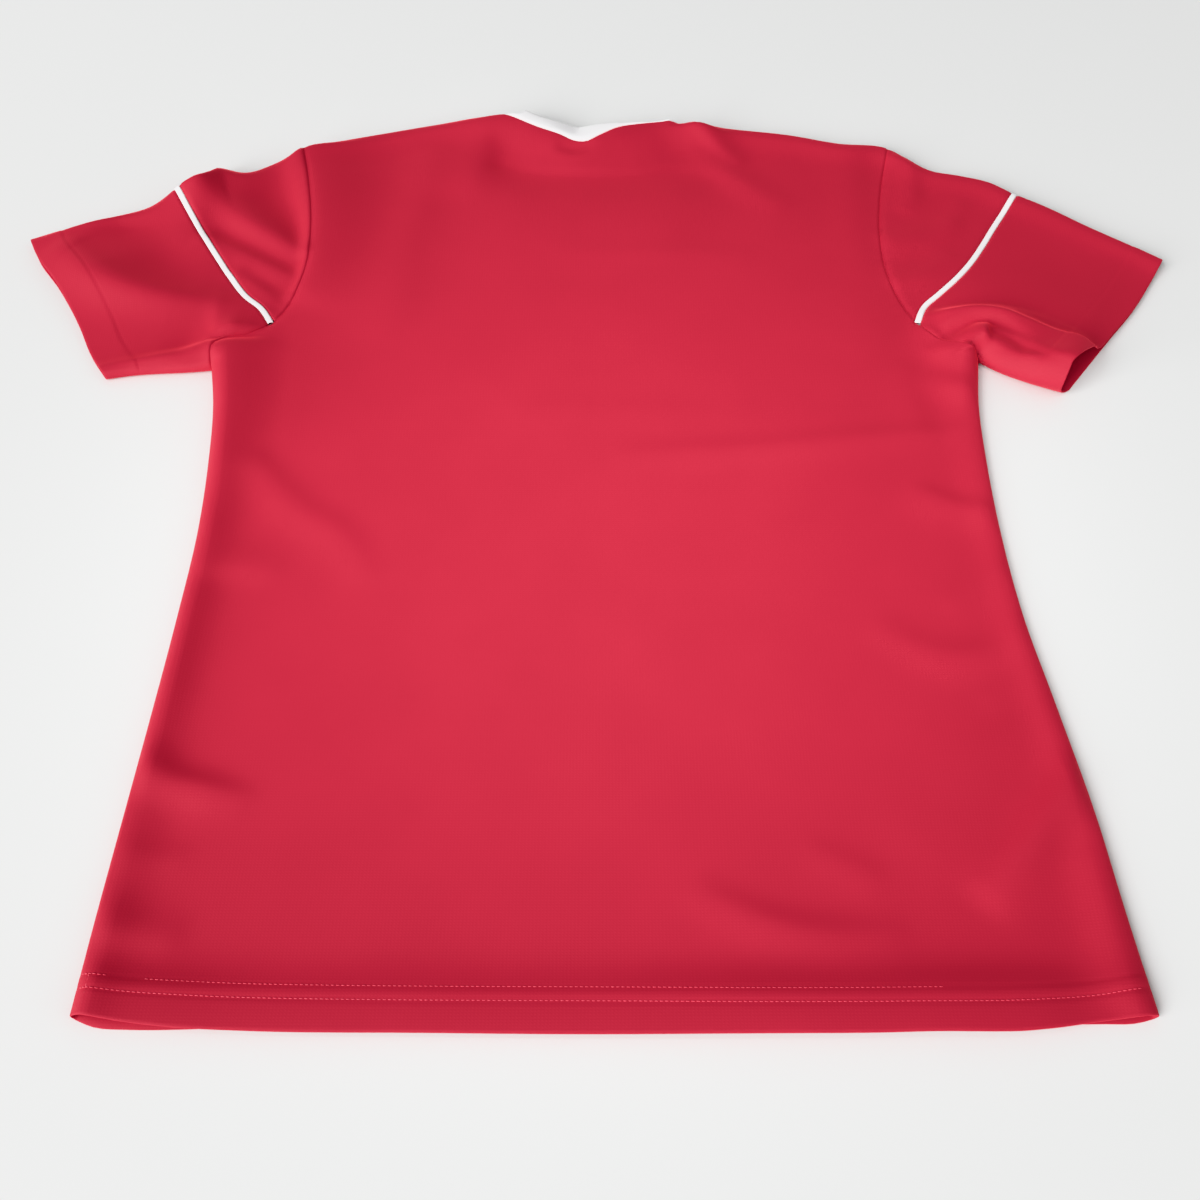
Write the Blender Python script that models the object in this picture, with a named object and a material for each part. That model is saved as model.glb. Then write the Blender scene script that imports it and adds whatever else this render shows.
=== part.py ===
"""A short-sleeved rugby shirt laid flat on a table, back side up.

The shirt is two layers of cloth. The front panel and the front half of each sleeve lie on the
table, and the back panel and the back half of each sleeve lie on them. The layers turn into each
other along fold lines: the sides, the underarms, the sleeve tops and the shoulders. A fold line
gives the round edge there, and a table of folds raises the upper layer elsewhere.

Every piece takes its points from the same two layers, so neighbours meet at their seams.
Lengths are in millimetres until a mesh is made. X runs across the shirt, Y from hem to neck and
Z up from the table. In the tables Y counts from the hem.
"""

import math

import bmesh
import bpy
import numpy as np

MM = 0.001

# Cloth
WALL = 1.2                      # thickness of the cloth wall
GAP = 0.3                       # between two pieces, and between the two layers
LAY = 2 * WALL + GAP            # height of the upper layer where it lies on the lower one
AIR = 0.6                       # how far the upper layer stands off elsewhere
RISE = 8.0                      # folds reach their full height this far inside a folded edge
SETTLE = 0.2                    # how softly the upper layer comes down on the lower one
HEM_TO_ORIGIN = 345.0           # the origin lies on the table under the middle of the shirt

# Piping
PIPING_WIDTH = 4.2
PIPING_PROUD = 1.0              # how far it stands above the cloth on the upper layer
PIPING_START = 0.5              # share of that at the top edge, where it turns under
PIPING_STOP = 2.6               # it ends this far before the armhole seam
CAP_STOP = 9.0                  # and the cap panel, narrowed to a tip, this far before it

# Grid of each piece
CURL = 3                        # steps round a quarter of a folded edge
SIDE_ROWS = 27                  # body rows from hem to underarm
SHOULDER_COLUMNS = 9
NECK_COLUMNS = 10
FRONT_SHOULDER_COLUMNS = 4
FRONT_SKIP = 2                  # the flat front needs every second of the side rows only
ARMHOLE_LOW = 4                 # armhole steps from underarm to piping
ARMHOLE_HIGH = 8                # and from piping to shoulder tip
CAP_COLUMNS = 4
SLEEVE_COLUMNS = 8
BAND_COLUMNS = 2
END_BLEND = 14.0                # an offset seam bends towards its end over this length
NECK_BLEND = 6.0                # the body's rows take the neckline's shape up to here below it
HEM_BLEND = 45.0                # and the hem's shape up to here above it
CUFF_BLEND = 3                  # how fast the drawing back of a cuff fades up the sleeve

# Fold lines. Columns: x, y, radius of the round edge, width over which its height fades inwards.
LEFT_SIDE = (
    (-253, 6, 3.2, 14),
    (-251.5, 50, 3.4, 14),
    (-249.5, 100, 3.2, 16),
    (-247, 160, 3.0, 14),
    (-244.5, 230, 3.0, 14),
    (-243.5, 290, 3.2, 16),
    (-246.5, 345, 3.4, 24),
    (-251.5, 392, 4.0, 36),
    (-258, 424, 4.2, 36),
)
RIGHT_SIDE = (
    (265, 7, 3.0, 12),
    (263, 55, 3.0, 14),
    (259.5, 106, 3.2, 14),
    (251.5, 176, 3.0, 12),
    (245, 229, 3.0, 12),
    (242.5, 290, 3.0, 12),
    (243.5, 347, 3.2, 14),
    (246, 389, 3.6, 16),
    (252.5, 432, 4.4, 18),
)
LEFT_UNDERARM = (
    (-258, 424, 4.2, 36),
    (-276, 422.5, 3.6, 16),
    (-296, 421.5, 3.2, 14),
    (-312, 420, 3.0, 12),
    (-327, 417, 3.0, 10),
)
RIGHT_UNDERARM = (
    (252.5, 432, 4.4, 18),
    (263, 423, 5.5, 20),
    (277, 414, 7.0, 22),
    (292, 406, 9.0, 24),
    (303, 401, 10.0, 26),
)
# The sleeve's top edge, the shoulder and the neckband's end, as one line.
LEFT_TOP = (
    (-410, 550, 3.0, 12),
    (-391, 559, 3.0, 14),
    (-352, 574, 3.4, 16),
    (-331, 582, 4.6, 18),
    (-314, 600, 5.4, 24),       # piping
    (-297, 621, 6.2, 24),
    (-283, 625, 5.0, 20),
    (-265, 621.5, 3.6, 14),
    (-246, 633, 3.6, 14),
    (-226, 651, 3.6, 14),       # shoulder tip
    (-195, 662, 3.4, 14),
    (-160, 672, 3.4, 14),
    (-123, 681, 3.8, 16),
    (-81, 687, 4.4, 20),        # neck point
    (-63, 691, 4.0, 16),        # free edge of the neckband
)
RIGHT_TOP = (
    (400, 529, 3.0, 12),
    (385, 541, 3.0, 12),
    (355, 564, 3.0, 14),
    (325, 588, 3.2, 14),
    (308, 599, 3.4, 14),        # piping
    (291, 613, 3.2, 14),
    (270, 621, 3.0, 14),
    (249, 627, 3.0, 14),
    (233, 641, 3.2, 14),
    (220, 652, 3.4, 14),        # shoulder tip
    (183, 658, 3.4, 14),
    (147, 668, 3.4, 14),
    (101, 675, 3.8, 16),
    (73, 679, 4.4, 20),         # neck point
    (55, 685, 4.0, 16),         # free edge of the neckband
)
TOP_PIPING, TOP_TIP, TOP_NECK = 4, 9, 13

# Armhole seams from the shoulder tip to the underarm. Columns: x, y. The piping joins at one row.
LEFT_ARMHOLE = (
    (-226, 651),
    (-216, 607),
    (-208.5, 560),
    (-207.5, 520),
    (-214, 489),
    (-225, 467),                # piping
    (-238, 455),
    (-252, 452),
    (-259.5, 442),
    (-258, 424),
)
RIGHT_ARMHOLE = (
    (220, 652),
    (208, 597),
    (202.5, 555),
    (202.5, 520),
    (208.5, 488),
    (217, 467),                 # piping
    (224, 454),
    (233, 445),
    (244, 438),
    (252.5, 432),
)
ARMHOLE_PIPING = 5

# Piping from the sleeve's top edge to the armhole seam. Columns: x, y.
LEFT_PIPING = ((-314, 600), (-298, 573), (-284.5, 550), (-271, 528.5), (-258, 508.5),
               (-244.5, 490), (-233.5, 480), (-225, 467))
RIGHT_PIPING = ((308, 599), (298, 583), (286.5, 564.5), (274.5, 544), (261.5, 524),
                (248.5, 508), (235.5, 494.5), (225, 484), (217, 467))

# Cut edges. Columns: x, y.
LEFT_CUFF = ((-410, 550), (-400, 531), (-380, 504), (-353, 460), (-341, 437), (-327, 417))
RIGHT_CUFF = ((400, 529), (388, 510), (369, 482), (346, 454), (324, 427), (303, 401))
BACK_HEM = ((-253, 6), (-242, 6), (-224, 4.5), (-205, 2.5), (-160, 0.5), (-80, 0), (0, 0),
            (80, 0.5), (160, 1.5), (210, 2.5), (234, 4.5), (265, 7))
FRONT_HEM = ((-253, 6), (-242, 2), (-225, 0.8), (-160, 0), (-80, 0), (0, 0),
             (80, 0.5), (160, 1.2), (215, 1.5), (245, 2.5), (265, 7))
BACK_NECKLINE = ((-81, 687), (-66, 676), (-48, 668.5), (-30, 660), (-20, 654), (-10, 653),
                 (0, 658.5), (14, 667), (31, 671), (55, 674), (73, 679))
BACK_BAND_EDGE = ((-63, 691), (-52, 684), (-31, 677), (-8, 673), (14, 674), (33, 677.5),
                  (55, 685))
FRONT_NECKLINE = ((-81, 687), (-73, 655), (-52, 618), (-4, 598), (43, 615), (65, 650), (73, 679))
FRONT_BAND_EDGE = ((-63, 691), (-56, 661), (-41, 634), (-4, 618), (32, 632), (49, 657), (55, 685))

# How far the lifted cuff of the right sleeve is drawn back.
# Columns: distance from the underarm edge, inset.
CUFF_DRAWN_BACK = ((0, 3.0), (10, 6.0), (27, 1.5), (45, 0.0))
CUFF_DRAWN_BELOW = ((0, 3.0), (10, 0.0))

# Folds of the upper layer. Columns: name, fade on the left of the route, fade on its right,
# route. A point of the route is x, y, height.
FOLDS = (
    ("neckline", 26, 24, ((-80, 684, 2), (-50, 670, 9), (-19, 655, 10), (17, 668, 10),
                          (50, 673, 8), (72, 678, 2))),
    ("left of the neck", 14, 30, ((-84, 680, 4), (-98, 633, 3.5), (-107, 588, 0.8))),
    ("right of the neck", 12, 26, ((75, 675, 4), (102, 629, 3), (135, 573, 0.8))),
    ("chest crease", 8, 10, ((9, 349, 0.6), (114, 356, 1.4), (214, 366, 1.2))),
    ("upper back", 14, 16, ((-50, 535, 0.4), (107, 532, 0.4))),
    ("low on the right", 9, 10, ((53, 66, 1.0), (100, 61, 1.5), (142, 52, 0.8))),
    ("right corner", 10, 12, ((244, 132, 1.6), (219, 105, 1.8), (195, 73, 0.6))),
    ("right side low", 9, 10, ((160, 220, 0.6), (198, 207, 1.0), (232, 214, 1.0))),
    ("right side high", 9, 10, ((200, 318, 1.0), (236, 300, 1.4))),
    ("under the right arm", 9, 9, ((218, 421, 1.5), (242, 408, 2.0))),
    ("left side high", 10, 14, ((-215, 338, 1.4), (-171, 303, 1.2), (-135, 276, 0.5))),
    ("left side low", 9, 12, ((-236, 135, 1.6), (-213, 129, 1.5), (-188, 122, 0.5))),
    ("left corner", 9, 11, ((-240, 59, 1.5), (-219, 52, 0.8))),
    ("hem", 11, 18, ((-246, 18, 1.6), (-180, 17, 1.6), (0, 15, 1.0), (180, 16, 1.2),
                     (258, 18, 1.2))),
    ("left sleeve", 30, 24, ((-377, 532, 6), (-345, 511, 8), (-304, 491, 7), (-257, 478, 5),
                             (-229, 470, 3))),
    ("left sleeve at the piping", 26, 13, ((-318, 588, 5), (-309, 560, 3), (-300, 540, 1))),
    ("left cap", 13, 22, ((-291, 610, 6), (-262, 575, 6), (-214, 526, 3))),
    ("left cap low", 8, 9, ((-262, 543, 1.5), (-220, 512, 2.0))),
    ("left armhole", 24, 14, ((-223, 640, 2.5), (-214, 600, 4), (-209, 550, 3))),
    ("right armhole", 16, 20, ((218, 640, 1.5), (206, 590, 2), (203, 540, 1))),
    ("right cap high", 8, 8, ((210, 546, 1.2), (235, 553, 1.0), (262, 570, 0.5))),
    ("right cap low", 8, 8, ((214, 508, 1.2), (250, 538, 0.6))),
    ("right sleeve roll", 13, 24, ((222, 464, 3), (254, 464, 9), (272, 460, 12), (286, 450, 10),
                                   (304, 438, 7), (324, 428, 4))),
)

# Colours: linear red, green, blue, then roughness
RED_CLOTH = (0.56, 0.018, 0.05, 0.75)
WHITE_TRIM = (0.86, 0.86, 0.87, 0.65)

CURVE_STEPS = 12                # points of a smooth curve for each row of its table
SLOPE_STEP = 0.4                # a slope is measured this far to each side
ON_LINE = 0.03                  # a point this near a fold line lies on it
SHARP_ANGLE = 40                # degrees, above which an edge is shaded sharp
TINY = 1e-9


def smooth(rows):
    """A smooth curve through the rows of a table, with all their columns."""
    knots = np.array(rows, float)
    chord = np.linalg.norm(np.diff(knots[:, :2], axis=0), axis=1)
    pace = np.diff(knots, axis=0) / chord[:, None]
    tangent = np.empty_like(knots)
    tangent[0], tangent[-1] = pace[0], pace[-1]
    before, after = chord[:-1, None], chord[1:, None]
    tangent[1:-1] = (pace[:-1] * after + pace[1:] * before) / (before + after)
    t = np.arange(CURVE_STEPS)[:, None] / CURVE_STEPS
    parts = []
    for a, b, ta, tb, h in zip(knots[:-1], knots[1:], tangent[:-1], tangent[1:], chord):
        parts.append((2 * t**3 - 3 * t**2 + 1) * a + (t**3 - 2 * t**2 + t) * h * ta
                     + (3 * t**2 - 2 * t**3) * b + (t**3 - t**2) * h * tb)
    return np.vstack(parts + [knots[-1:]])


def part(curve, first, last):
    """The stretch of a smooth curve between two rows of its table."""
    return curve[first * CURVE_STEPS:last * CURVE_STEPS + 1]


def length(curve):
    return np.linalg.norm(np.diff(curve[:, :2], axis=0), axis=1).sum()


def along(curve, distances):
    """Points of a curve at these distances from its start."""
    run = np.r_[0, np.cumsum(np.linalg.norm(np.diff(curve[:, :2], axis=0), axis=1))]
    columns = [np.interp(distances, run, curve[:, c]) for c in range(curve.shape[1])]
    return np.stack(columns, axis=-1)


def stops(total, count, near=0.0, far=0.0):
    """Distances along a line, close together at an end that turns round a fold of that radius."""
    turn = 1 - np.cos(np.arange(CURL) * math.pi / 2 / CURL)
    head = near * turn if near else []
    tail = total - far * turn[::-1] if far else []
    return np.r_[head, np.linspace(near, total - far, count + 1), tail]


def beside(points, offset):
    """Points moved sideways, to the left of their line where offset is positive."""
    direction = np.gradient(points[:, :2], axis=0)
    direction /= np.linalg.norm(direction, axis=1)[:, None]
    moved = points.copy()
    moved[:, 0] -= offset * direction[:, 1]
    moved[:, 1] += offset * direction[:, 0]
    return moved


def joined(line, start=None, end=None):
    """The same line with its ends moved to these points, and what is near them with them."""
    run = np.r_[0, np.cumsum(np.linalg.norm(np.diff(line, axis=0), axis=1))]
    moved = line.copy()
    if start is not None:
        moved += np.clip(1 - run / END_BLEND, 0, 1)[:, None] * (start - line[0])
    if end is not None:
        moved += np.clip(1 - (run[-1] - run) / END_BLEND, 0, 1)[:, None] * (end - line[-1])
    return moved


def flipped(rows):
    return rows[::-1]


# Each fold line is walked with the cloth on its left.
FOLD_LINES = [smooth(rows) for rows in (
    RIGHT_SIDE, RIGHT_UNDERARM, RIGHT_TOP, flipped(LEFT_TOP), flipped(LEFT_UNDERARM),
    flipped(LEFT_SIDE))]


def nearest_fold(xy):
    """Distance to the nearest fold line, its radius and fade, and the direction towards it."""
    best = np.full(len(xy), np.inf)
    found = np.zeros((len(xy), 4))
    for line in FOLD_LINES:
        start, run = line[:-1, :2], np.diff(line[:, :2], axis=0)
        size = (run ** 2).sum(1)
        t = np.clip((((xy[:, None] - start) * run).sum(2)) / size, 0, 1)
        away = start + t[..., None] * run - xy[:, None]
        distance = np.linalg.norm(away, axis=2)
        pick = distance.argmin(1)
        rows = np.arange(len(xy))
        near = distance[rows, pick]
        share = t[rows, pick][:, None]
        form = line[pick, 2:] * (1 - share) + line[pick + 1, 2:] * share
        normal = np.stack([run[pick, 1], -run[pick, 0]], 1) / np.sqrt(size[pick])[:, None]
        beside_line = near[:, None] > ON_LINE
        towards = np.where(beside_line, away[rows, pick] / (near[:, None] + TINY), normal)
        better = near < best
        best = np.where(better, near, best)
        found[better] = np.hstack([form, towards])[better]
    return np.maximum(best - ON_LINE, 0), found[:, 0], found[:, 1], found[:, 2:]


def fold_height(xy):
    """Height that the table of folds gives the upper layer."""
    total = np.full(len(xy), AIR)
    for name, left, right, route in FOLDS:
        points = np.array(route, float)
        best = np.full(len(xy), np.inf)
        lift = np.zeros(len(xy))
        for a, b in zip(points[:-1], points[1:]):
            run = b[:2] - a[:2]
            size = np.hypot(*run)
            offset = xy - a[:2]
            share = np.clip(offset @ run / size**2, 0, 1)
            away = offset - share[:, None] * run
            distance = np.hypot(away[:, 0], away[:, 1])
            side = run[0] * offset[:, 1] - run[1] * offset[:, 0]
            blend = 0.5 + 0.5 * np.clip(side / size / (distance + TINY), -1, 1)
            fade = right + (left - right) * blend
            height = (a[2] + (b[2] - a[2]) * share) * np.exp(-(distance / fade) ** 2)
            closer = distance < best
            best = np.where(closer, distance, best)
            lift = np.where(closer, height, lift)
        total += lift
    return total


def free_height(xy, distance, radius, fade):
    """Height of the upper layer, apart from the turn of its folded edge."""
    rise = np.clip(distance / (radius + RISE), 0, 1)
    rise = rise * rise * (3 - 2 * rise)
    past = np.maximum(distance - radius, 0)
    height = (2 * radius - LAY) * np.exp(-(past / fade) ** 2) + fold_height(xy) * rise
    return LAY + (height + np.sqrt(height ** 2 + SETTLE ** 2)) / 2


def upper_layer(plan):
    """Outer points and normals of the upper layer over plan points."""
    xy = plan.reshape(-1, 2)
    distance, radius, fade, towards = nearest_fold(xy)
    slope = []
    for axis in (0, 1):
        step = np.zeros(2)
        step[axis] = SLOPE_STEP
        ends = []
        for moved in (xy + step, xy - step):
            reach, size, width, _ = nearest_fold(moved)
            ends.append(free_height(moved, reach, size, width))
        slope.append((ends[0] - ends[1]) / (2 * SLOPE_STEP))
    cosine = np.clip(1 - distance / radius, 0, 1)
    sine = np.sqrt(1 - cosine ** 2)
    height = free_height(xy, distance, radius, fade) - radius * (1 - sine)
    normal = np.stack([cosine * towards[:, 0] - sine * slope[0],
                       cosine * towards[:, 1] - sine * slope[1], sine], 1)
    normal[:, 2] += TINY
    normal /= np.linalg.norm(normal, axis=1)[:, None]
    on_line = distance == 0
    height[on_line] = radius[on_line]
    points = np.column_stack([xy, height])
    return points.reshape(plan.shape[:-1] + (3,)), normal.reshape(plan.shape[:-1] + (3,))


def lower_layer(plan):
    """Outer points and normals of the lower layer, flat on the table up to its folded edges."""
    xy = plan.reshape(-1, 2)
    distance, radius, _, towards = nearest_fold(xy)
    cosine = np.clip(1 - distance / radius, 0, 1)
    sine = np.sqrt(1 - cosine ** 2)
    points = np.column_stack([xy, radius * (1 - sine)])
    normal = np.column_stack([cosine[:, None] * towards, -sine])
    return points.reshape(plan.shape[:-1] + (3,)), normal.reshape(plan.shape[:-1] + (3,))


def inside(points, normals):
    return points - WALL * normals


def grid_faces(index, flip):
    """Two triangles for each cell of a grid of vertex numbers."""
    faces = []
    for row, above in zip(index[:-1], index[1:]):
        for a, b, c, d in zip(row[:-1], row[1:], above[1:], above[:-1]):
            faces += [(a, b, c), (a, c, d)] if not flip else [(a, c, b), (a, d, c)]
    return faces


def make_object(name, vertices, faces, material):
    mesh = bpy.data.meshes.new(name)
    shifted = np.array(vertices, float) - (0, HEM_TO_ORIGIN, 0)
    mesh.from_pydata((shifted * MM).tolist(), [], faces)
    work = bmesh.new()
    work.from_mesh(mesh)
    bmesh.ops.recalc_face_normals(work, faces=work.faces)
    if work.calc_volume(signed=True) < 0:
        bmesh.ops.reverse_faces(work, faces=work.faces)
    work.to_mesh(mesh)
    work.free()
    mesh.shade_smooth()
    mesh.set_sharp_from_angle(angle=math.radians(SHARP_ANGLE))
    mesh.materials.append(material)
    piece = bpy.data.objects.new(name, mesh)
    bpy.context.collection.objects.link(piece)
    return piece


def wall(name, outer, inner, material, ring=False):
    """A closed wall between an outer and an inner grid. A ring's last row joins its first."""
    rows, columns = outer.shape[:2]
    numbers = np.arange(rows * columns).reshape(rows, columns)
    skins = [numbers, numbers + rows * columns]
    if ring:
        skins = [np.vstack([skin, skin[:1]]) for skin in skins]
    faces = grid_faces(skins[0], False) + grid_faces(skins[1], True)
    for edge in (0, -1):
        faces += grid_faces(np.stack([skins[0][:, edge], skins[1][:, edge]]), edge == 0)
        if not ring:
            faces += grid_faces(np.stack([skins[0][edge], skins[1][edge]]), edge == -1)
    vertices = np.vstack([outer.reshape(-1, 3), inner.reshape(-1, 3)])
    return make_object(name, vertices, faces, material)


def material(name, look):
    made = bpy.data.materials.new(name)
    made.use_nodes = True
    shader = made.node_tree.nodes["Principled BSDF"]
    shader.inputs["Base Color"].default_value = (*look[:3], 1)
    shader.inputs["Roughness"].default_value = look[3]
    shader.inputs["Metallic"].default_value = 0.0
    return made


class Side:
    """The seams and fold lines of the shirt's left or right half."""

    def __init__(self, top, side, underarm, armhole, piping, cuff, sign):
        self.sign = sign
        self.top = smooth(top)
        self.tip_at = length(part(self.top, 0, TOP_TIP))
        self.piping_at = length(part(self.top, 0, TOP_PIPING))
        self.neck_at = length(part(self.top, 0, TOP_NECK))
        self.side = smooth(side)
        self.underarm = smooth(underarm)
        self.piping = smooth(piping)
        self.cuff = smooth(cuff)
        armhole = smooth(armhole)
        self.armhole_high = part(armhole, 0, ARMHOLE_PIPING)
        self.armhole_low = part(armhole, ARMHOLE_PIPING, len(armhole) // CURVE_STEPS)

    def radius(self, at):
        """Radius of the top fold line at a distance from the cuff."""
        return float(along(self.top, at)[2])

    def armhole(self, offset):
        """Points of the armhole seam from tip to underarm, moved by offset towards the cuff."""
        high, low = self.armhole_high, self.armhole_low
        first = along(high, stops(length(high), ARMHOLE_HIGH, near=self.radius(self.tip_at)))
        second = along(low, stops(length(low), ARMHOLE_LOW, far=self.side[-1, 2]))
        seam = beside(np.vstack([first, second[1:]]), offset * self.sign)
        start = along(self.top, self.tip_at - offset)[:2]
        if offset > 0:
            end = along(self.underarm, offset)[:2]
        else:
            end = along(self.side, length(self.side) + offset)[:2]
        return joined(seam, start, end)

    def piping_line(self, offset):
        """Points of the piping from top edge to armhole, moved by offset towards the cuff."""
        at = stops(length(self.piping), ARMHOLE_HIGH, near=self.radius(self.piping_at))
        line = beside(along(self.piping, at), offset * self.sign)
        return joined(line, start=along(self.top, self.piping_at - offset)[:2])

    def top_edge(self, start, end, count):
        """Evenly spaced points of the top fold line between two distances from the cuff."""
        return along(self.top, np.linspace(start, end, count))[:, :2]

    def body_edge(self, rows):
        """Edge of a body panel from the hem up the side and the armhole to the shoulder tip."""
        seam = self.armhole(-GAP / 2)[::-1]
        low = along(self.side, np.linspace(0, length(self.side) - GAP / 2, rows))
        edge = np.vstack([low[:, :2], seam[1:]])
        return edge, np.r_[low[:, 2], np.full(len(seam) - 1, low[-1, 2])]


def stopped_short(points, distance):
    """The same line, ending this far before its last point."""
    shorter = points.copy()
    run = points[-1] - points[-2]
    shorter[-1] -= run * distance / np.linalg.norm(run)
    return shorter


def body_plan(halves, hem, neckline, rows, shoulder_columns):
    """Plan points of a body panel, from hem to neck and from left to right."""
    edges = [half.body_edge(rows) for half in halves]
    (left, left_radius), (right, right_radius) = edges
    span = np.linalg.norm(right - left, axis=1)
    middle = 2 * shoulder_columns + NECK_COLUMNS
    share = np.array([stops(w, middle, near=a, far=b) / w
                      for w, a, b in zip(span, left_radius, right_radius)])

    tops = []
    for half in halves:
        start, end = half.tip_at + GAP / 2, half.neck_at - GAP
        at = start + stops(end - start, shoulder_columns, near=half.side[-1, 2])
        tops.append(along(half.top, at)[:, :2])
    neck = beside(along(neckline, np.linspace(0, length(neckline), NECK_COLUMNS + 1)), -GAP / 2)
    top = np.vstack([tops[0], neck[1:-1], tops[1][::-1]])
    bottom = along(hem, share[0] * length(hem))
    bottom[0], bottom[-1] = left[0], right[0]

    plan = left[:, None] * (1 - share[..., None]) + right[:, None] * share[..., None]
    rise = np.r_[0, np.cumsum(np.linalg.norm(np.diff(left, axis=0), axis=1))]
    underarm = rise[rows - 1]
    near_top = np.clip((rise - underarm) / (rise[-1] - underarm - NECK_BLEND), 0, 1)
    near_top = near_top * near_top * (3 - 2 * near_top)
    near_hem = np.clip(1 - rise / HEM_BLEND, 0, 1) ** 2
    plan += near_top[:, None, None] * (top - plan[-1])
    plan += near_hem[:, None, None] * (bottom - plan[0])
    return plan


def parted(points, towards):
    """Moves the rows of a panel that lie on a fold line half a seam gap up or down."""
    moved = points.copy()
    moved[..., 2] += towards * GAP / 2
    return moved


def body_panel(name, halves, hem, neckline, shoulder_columns, skip, upper, material):
    """The back or the front: a wall in its layer, parted from the other at sides and shoulders."""
    rows = SIDE_ROWS
    plan = body_plan(halves, hem, neckline, rows, shoulder_columns)
    keep = np.r_[np.arange(0, rows - 1, skip), np.arange(rows - 1, len(plan))]
    plan = plan[keep]
    low_rows = int((keep < rows).sum())
    outer, normal = (upper_layer if upper else lower_layer)(plan)
    inner = inside(outer, normal)
    towards = 1 if upper else -1
    shoulder = CURL + shoulder_columns + 1
    for grid in (outer, inner):
        grid[:low_rows, 0] = parted(grid[:low_rows, 0], towards)
        grid[:low_rows, -1] = parted(grid[:low_rows, -1], towards)
        grid[-1, :shoulder] = parted(grid[-1, :shoulder], towards)
        grid[-1, -shoulder:] = parted(grid[-1, -shoulder:], towards)
    return wall(name, outer, inner, material)


def patch(first, last, top, bottom, share_across, share_down):
    """Plan points between four edges: first to last across, top to bottom down."""
    across = share_across[None, :, None]
    down = share_down[:, None, None]
    plan = first[:, None] * (1 - across) + last[:, None] * across
    plan = plan + (1 - down) * (top - plan[0]) + down * (bottom - plan[-1])
    return plan


def drawn_back(plan, table, reach):
    """Draws the lifted end of a cuff back towards the shoulder."""
    columns = np.array(table, float)
    cuff = plan[:, -1]
    from_edge = np.linalg.norm(cuff - cuff[-1], axis=1)
    inset = np.interp(from_edge, columns[:, 0], columns[:, 1], right=0)
    inward = plan[:, -2] - cuff
    inward /= np.linalg.norm(inward, axis=1)[:, None]
    weight = reach ** CUFF_BLEND
    return plan + (inset[:, None] * inward)[:, None] * weight[None, :, None]


def sleeve_lower(name, half, material, lifted):
    """The sleeve from piping to cuff: a tube, open at both ends."""
    side = PIPING_WIDTH / 2 + GAP
    low = half.armhole(GAP / 2)[-(ARMHOLE_LOW + CURL):]
    inner_edge = np.vstack([half.piping_line(side), low])
    reach = np.linspace(0, 1, SLEEVE_COLUMNS + 1)
    top_line = half.top_edge(half.piping_at - side, 0, SLEEVE_COLUMNS + 1)
    under = length(half.underarm)
    bottom_line = along(half.underarm, GAP / 2 + reach * (under - GAP / 2))[:, :2]
    steps = len(inner_edge) - 1 - 2 * CURL
    ends = stops(length(half.cuff), steps, near=half.radius(0), far=half.underarm[-1, 2])
    cuff = along(half.cuff, ends)
    plan = patch(inner_edge, cuff, top_line, bottom_line, reach, ends / ends[-1])
    above = drawn_back(plan, CUFF_DRAWN_BACK, reach) if lifted else plan
    below = drawn_back(plan, CUFF_DRAWN_BELOW, reach) if lifted else plan
    over, over_normal = upper_layer(above)
    under, under_normal = lower_layer(below)
    outer = np.vstack([over, under[-2:0:-1]])
    normal = np.vstack([over_normal, under_normal[-2:0:-1]])
    return wall(name, outer, inside(outer, normal), material, ring=True)


def sleeve_cap(name, half, material):
    """The sleeve between armhole seam and piping, a crescent over the sleeve's top edge."""
    side = PIPING_WIDTH / 2 + GAP
    last = stopped_short(half.piping_line(-side), CAP_STOP)
    first = stopped_short(half.armhole(GAP / 2)[:len(last)], CAP_STOP)
    reach = np.linspace(0, 1, CAP_COLUMNS + 1)
    top_line = half.top_edge(half.tip_at - GAP / 2, half.piping_at + side, CAP_COLUMNS + 1)
    bottom_line = first[-1] * (1 - reach[:, None]) + last[-1] * reach[:, None]
    down = np.r_[0, np.cumsum(np.linalg.norm(np.diff(first, axis=0), axis=1))]
    plan = patch(first, last, top_line, bottom_line, reach, down / down[-1])
    over, over_normal = upper_layer(plan)
    under, under_normal = lower_layer(plan)
    outer = np.vstack([over[::-1], under[1:]])
    normal = np.vstack([over_normal[::-1], under_normal[1:]])
    return wall(name, outer, inside(outer, normal), material)


def piping(name, half, material):
    """The piping: a cord with a flat back, flush where the shirt lies on it."""
    profile = ((-1, 0), (-0.8, 0.62), (-0.34, 1), (0.34, 1), (0.8, 0.62), (1, 0))
    half_width = PIPING_WIDTH / 2
    rows = []
    for layer, order in ((upper_layer, slice(None, None, -1)), (lower_layer, slice(1, None))):
        loop = []
        for side, rise in profile:
            base, normal = layer(stopped_short(half.piping_line(side * half_width), PIPING_STOP))
            proud = np.zeros(len(base))
            if layer is upper_layer:
                proud += PIPING_PROUD
                proud[:CURL] *= np.linspace(PIPING_START, 1, CURL, endpoint=False)
            loop.append(base + normal * (rise * proud)[:, None])
        for side in (1, 0, -1):
            plan = stopped_short(half.piping_line(side * half_width), PIPING_STOP)
            loop.append(inside(*layer(plan)))
        rows.append(np.stack(loop, 1)[order])
    loops = np.vstack(rows)
    count, ring = loops.shape[:2]
    numbers = np.arange(count * ring).reshape(count, ring)
    faces = grid_faces(np.hstack([numbers, numbers[:, :1]]), False)
    faces += [numbers[0].tolist(), numbers[-1].tolist()]
    return make_object(name, loops.reshape(-1, 3), faces, material)


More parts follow.
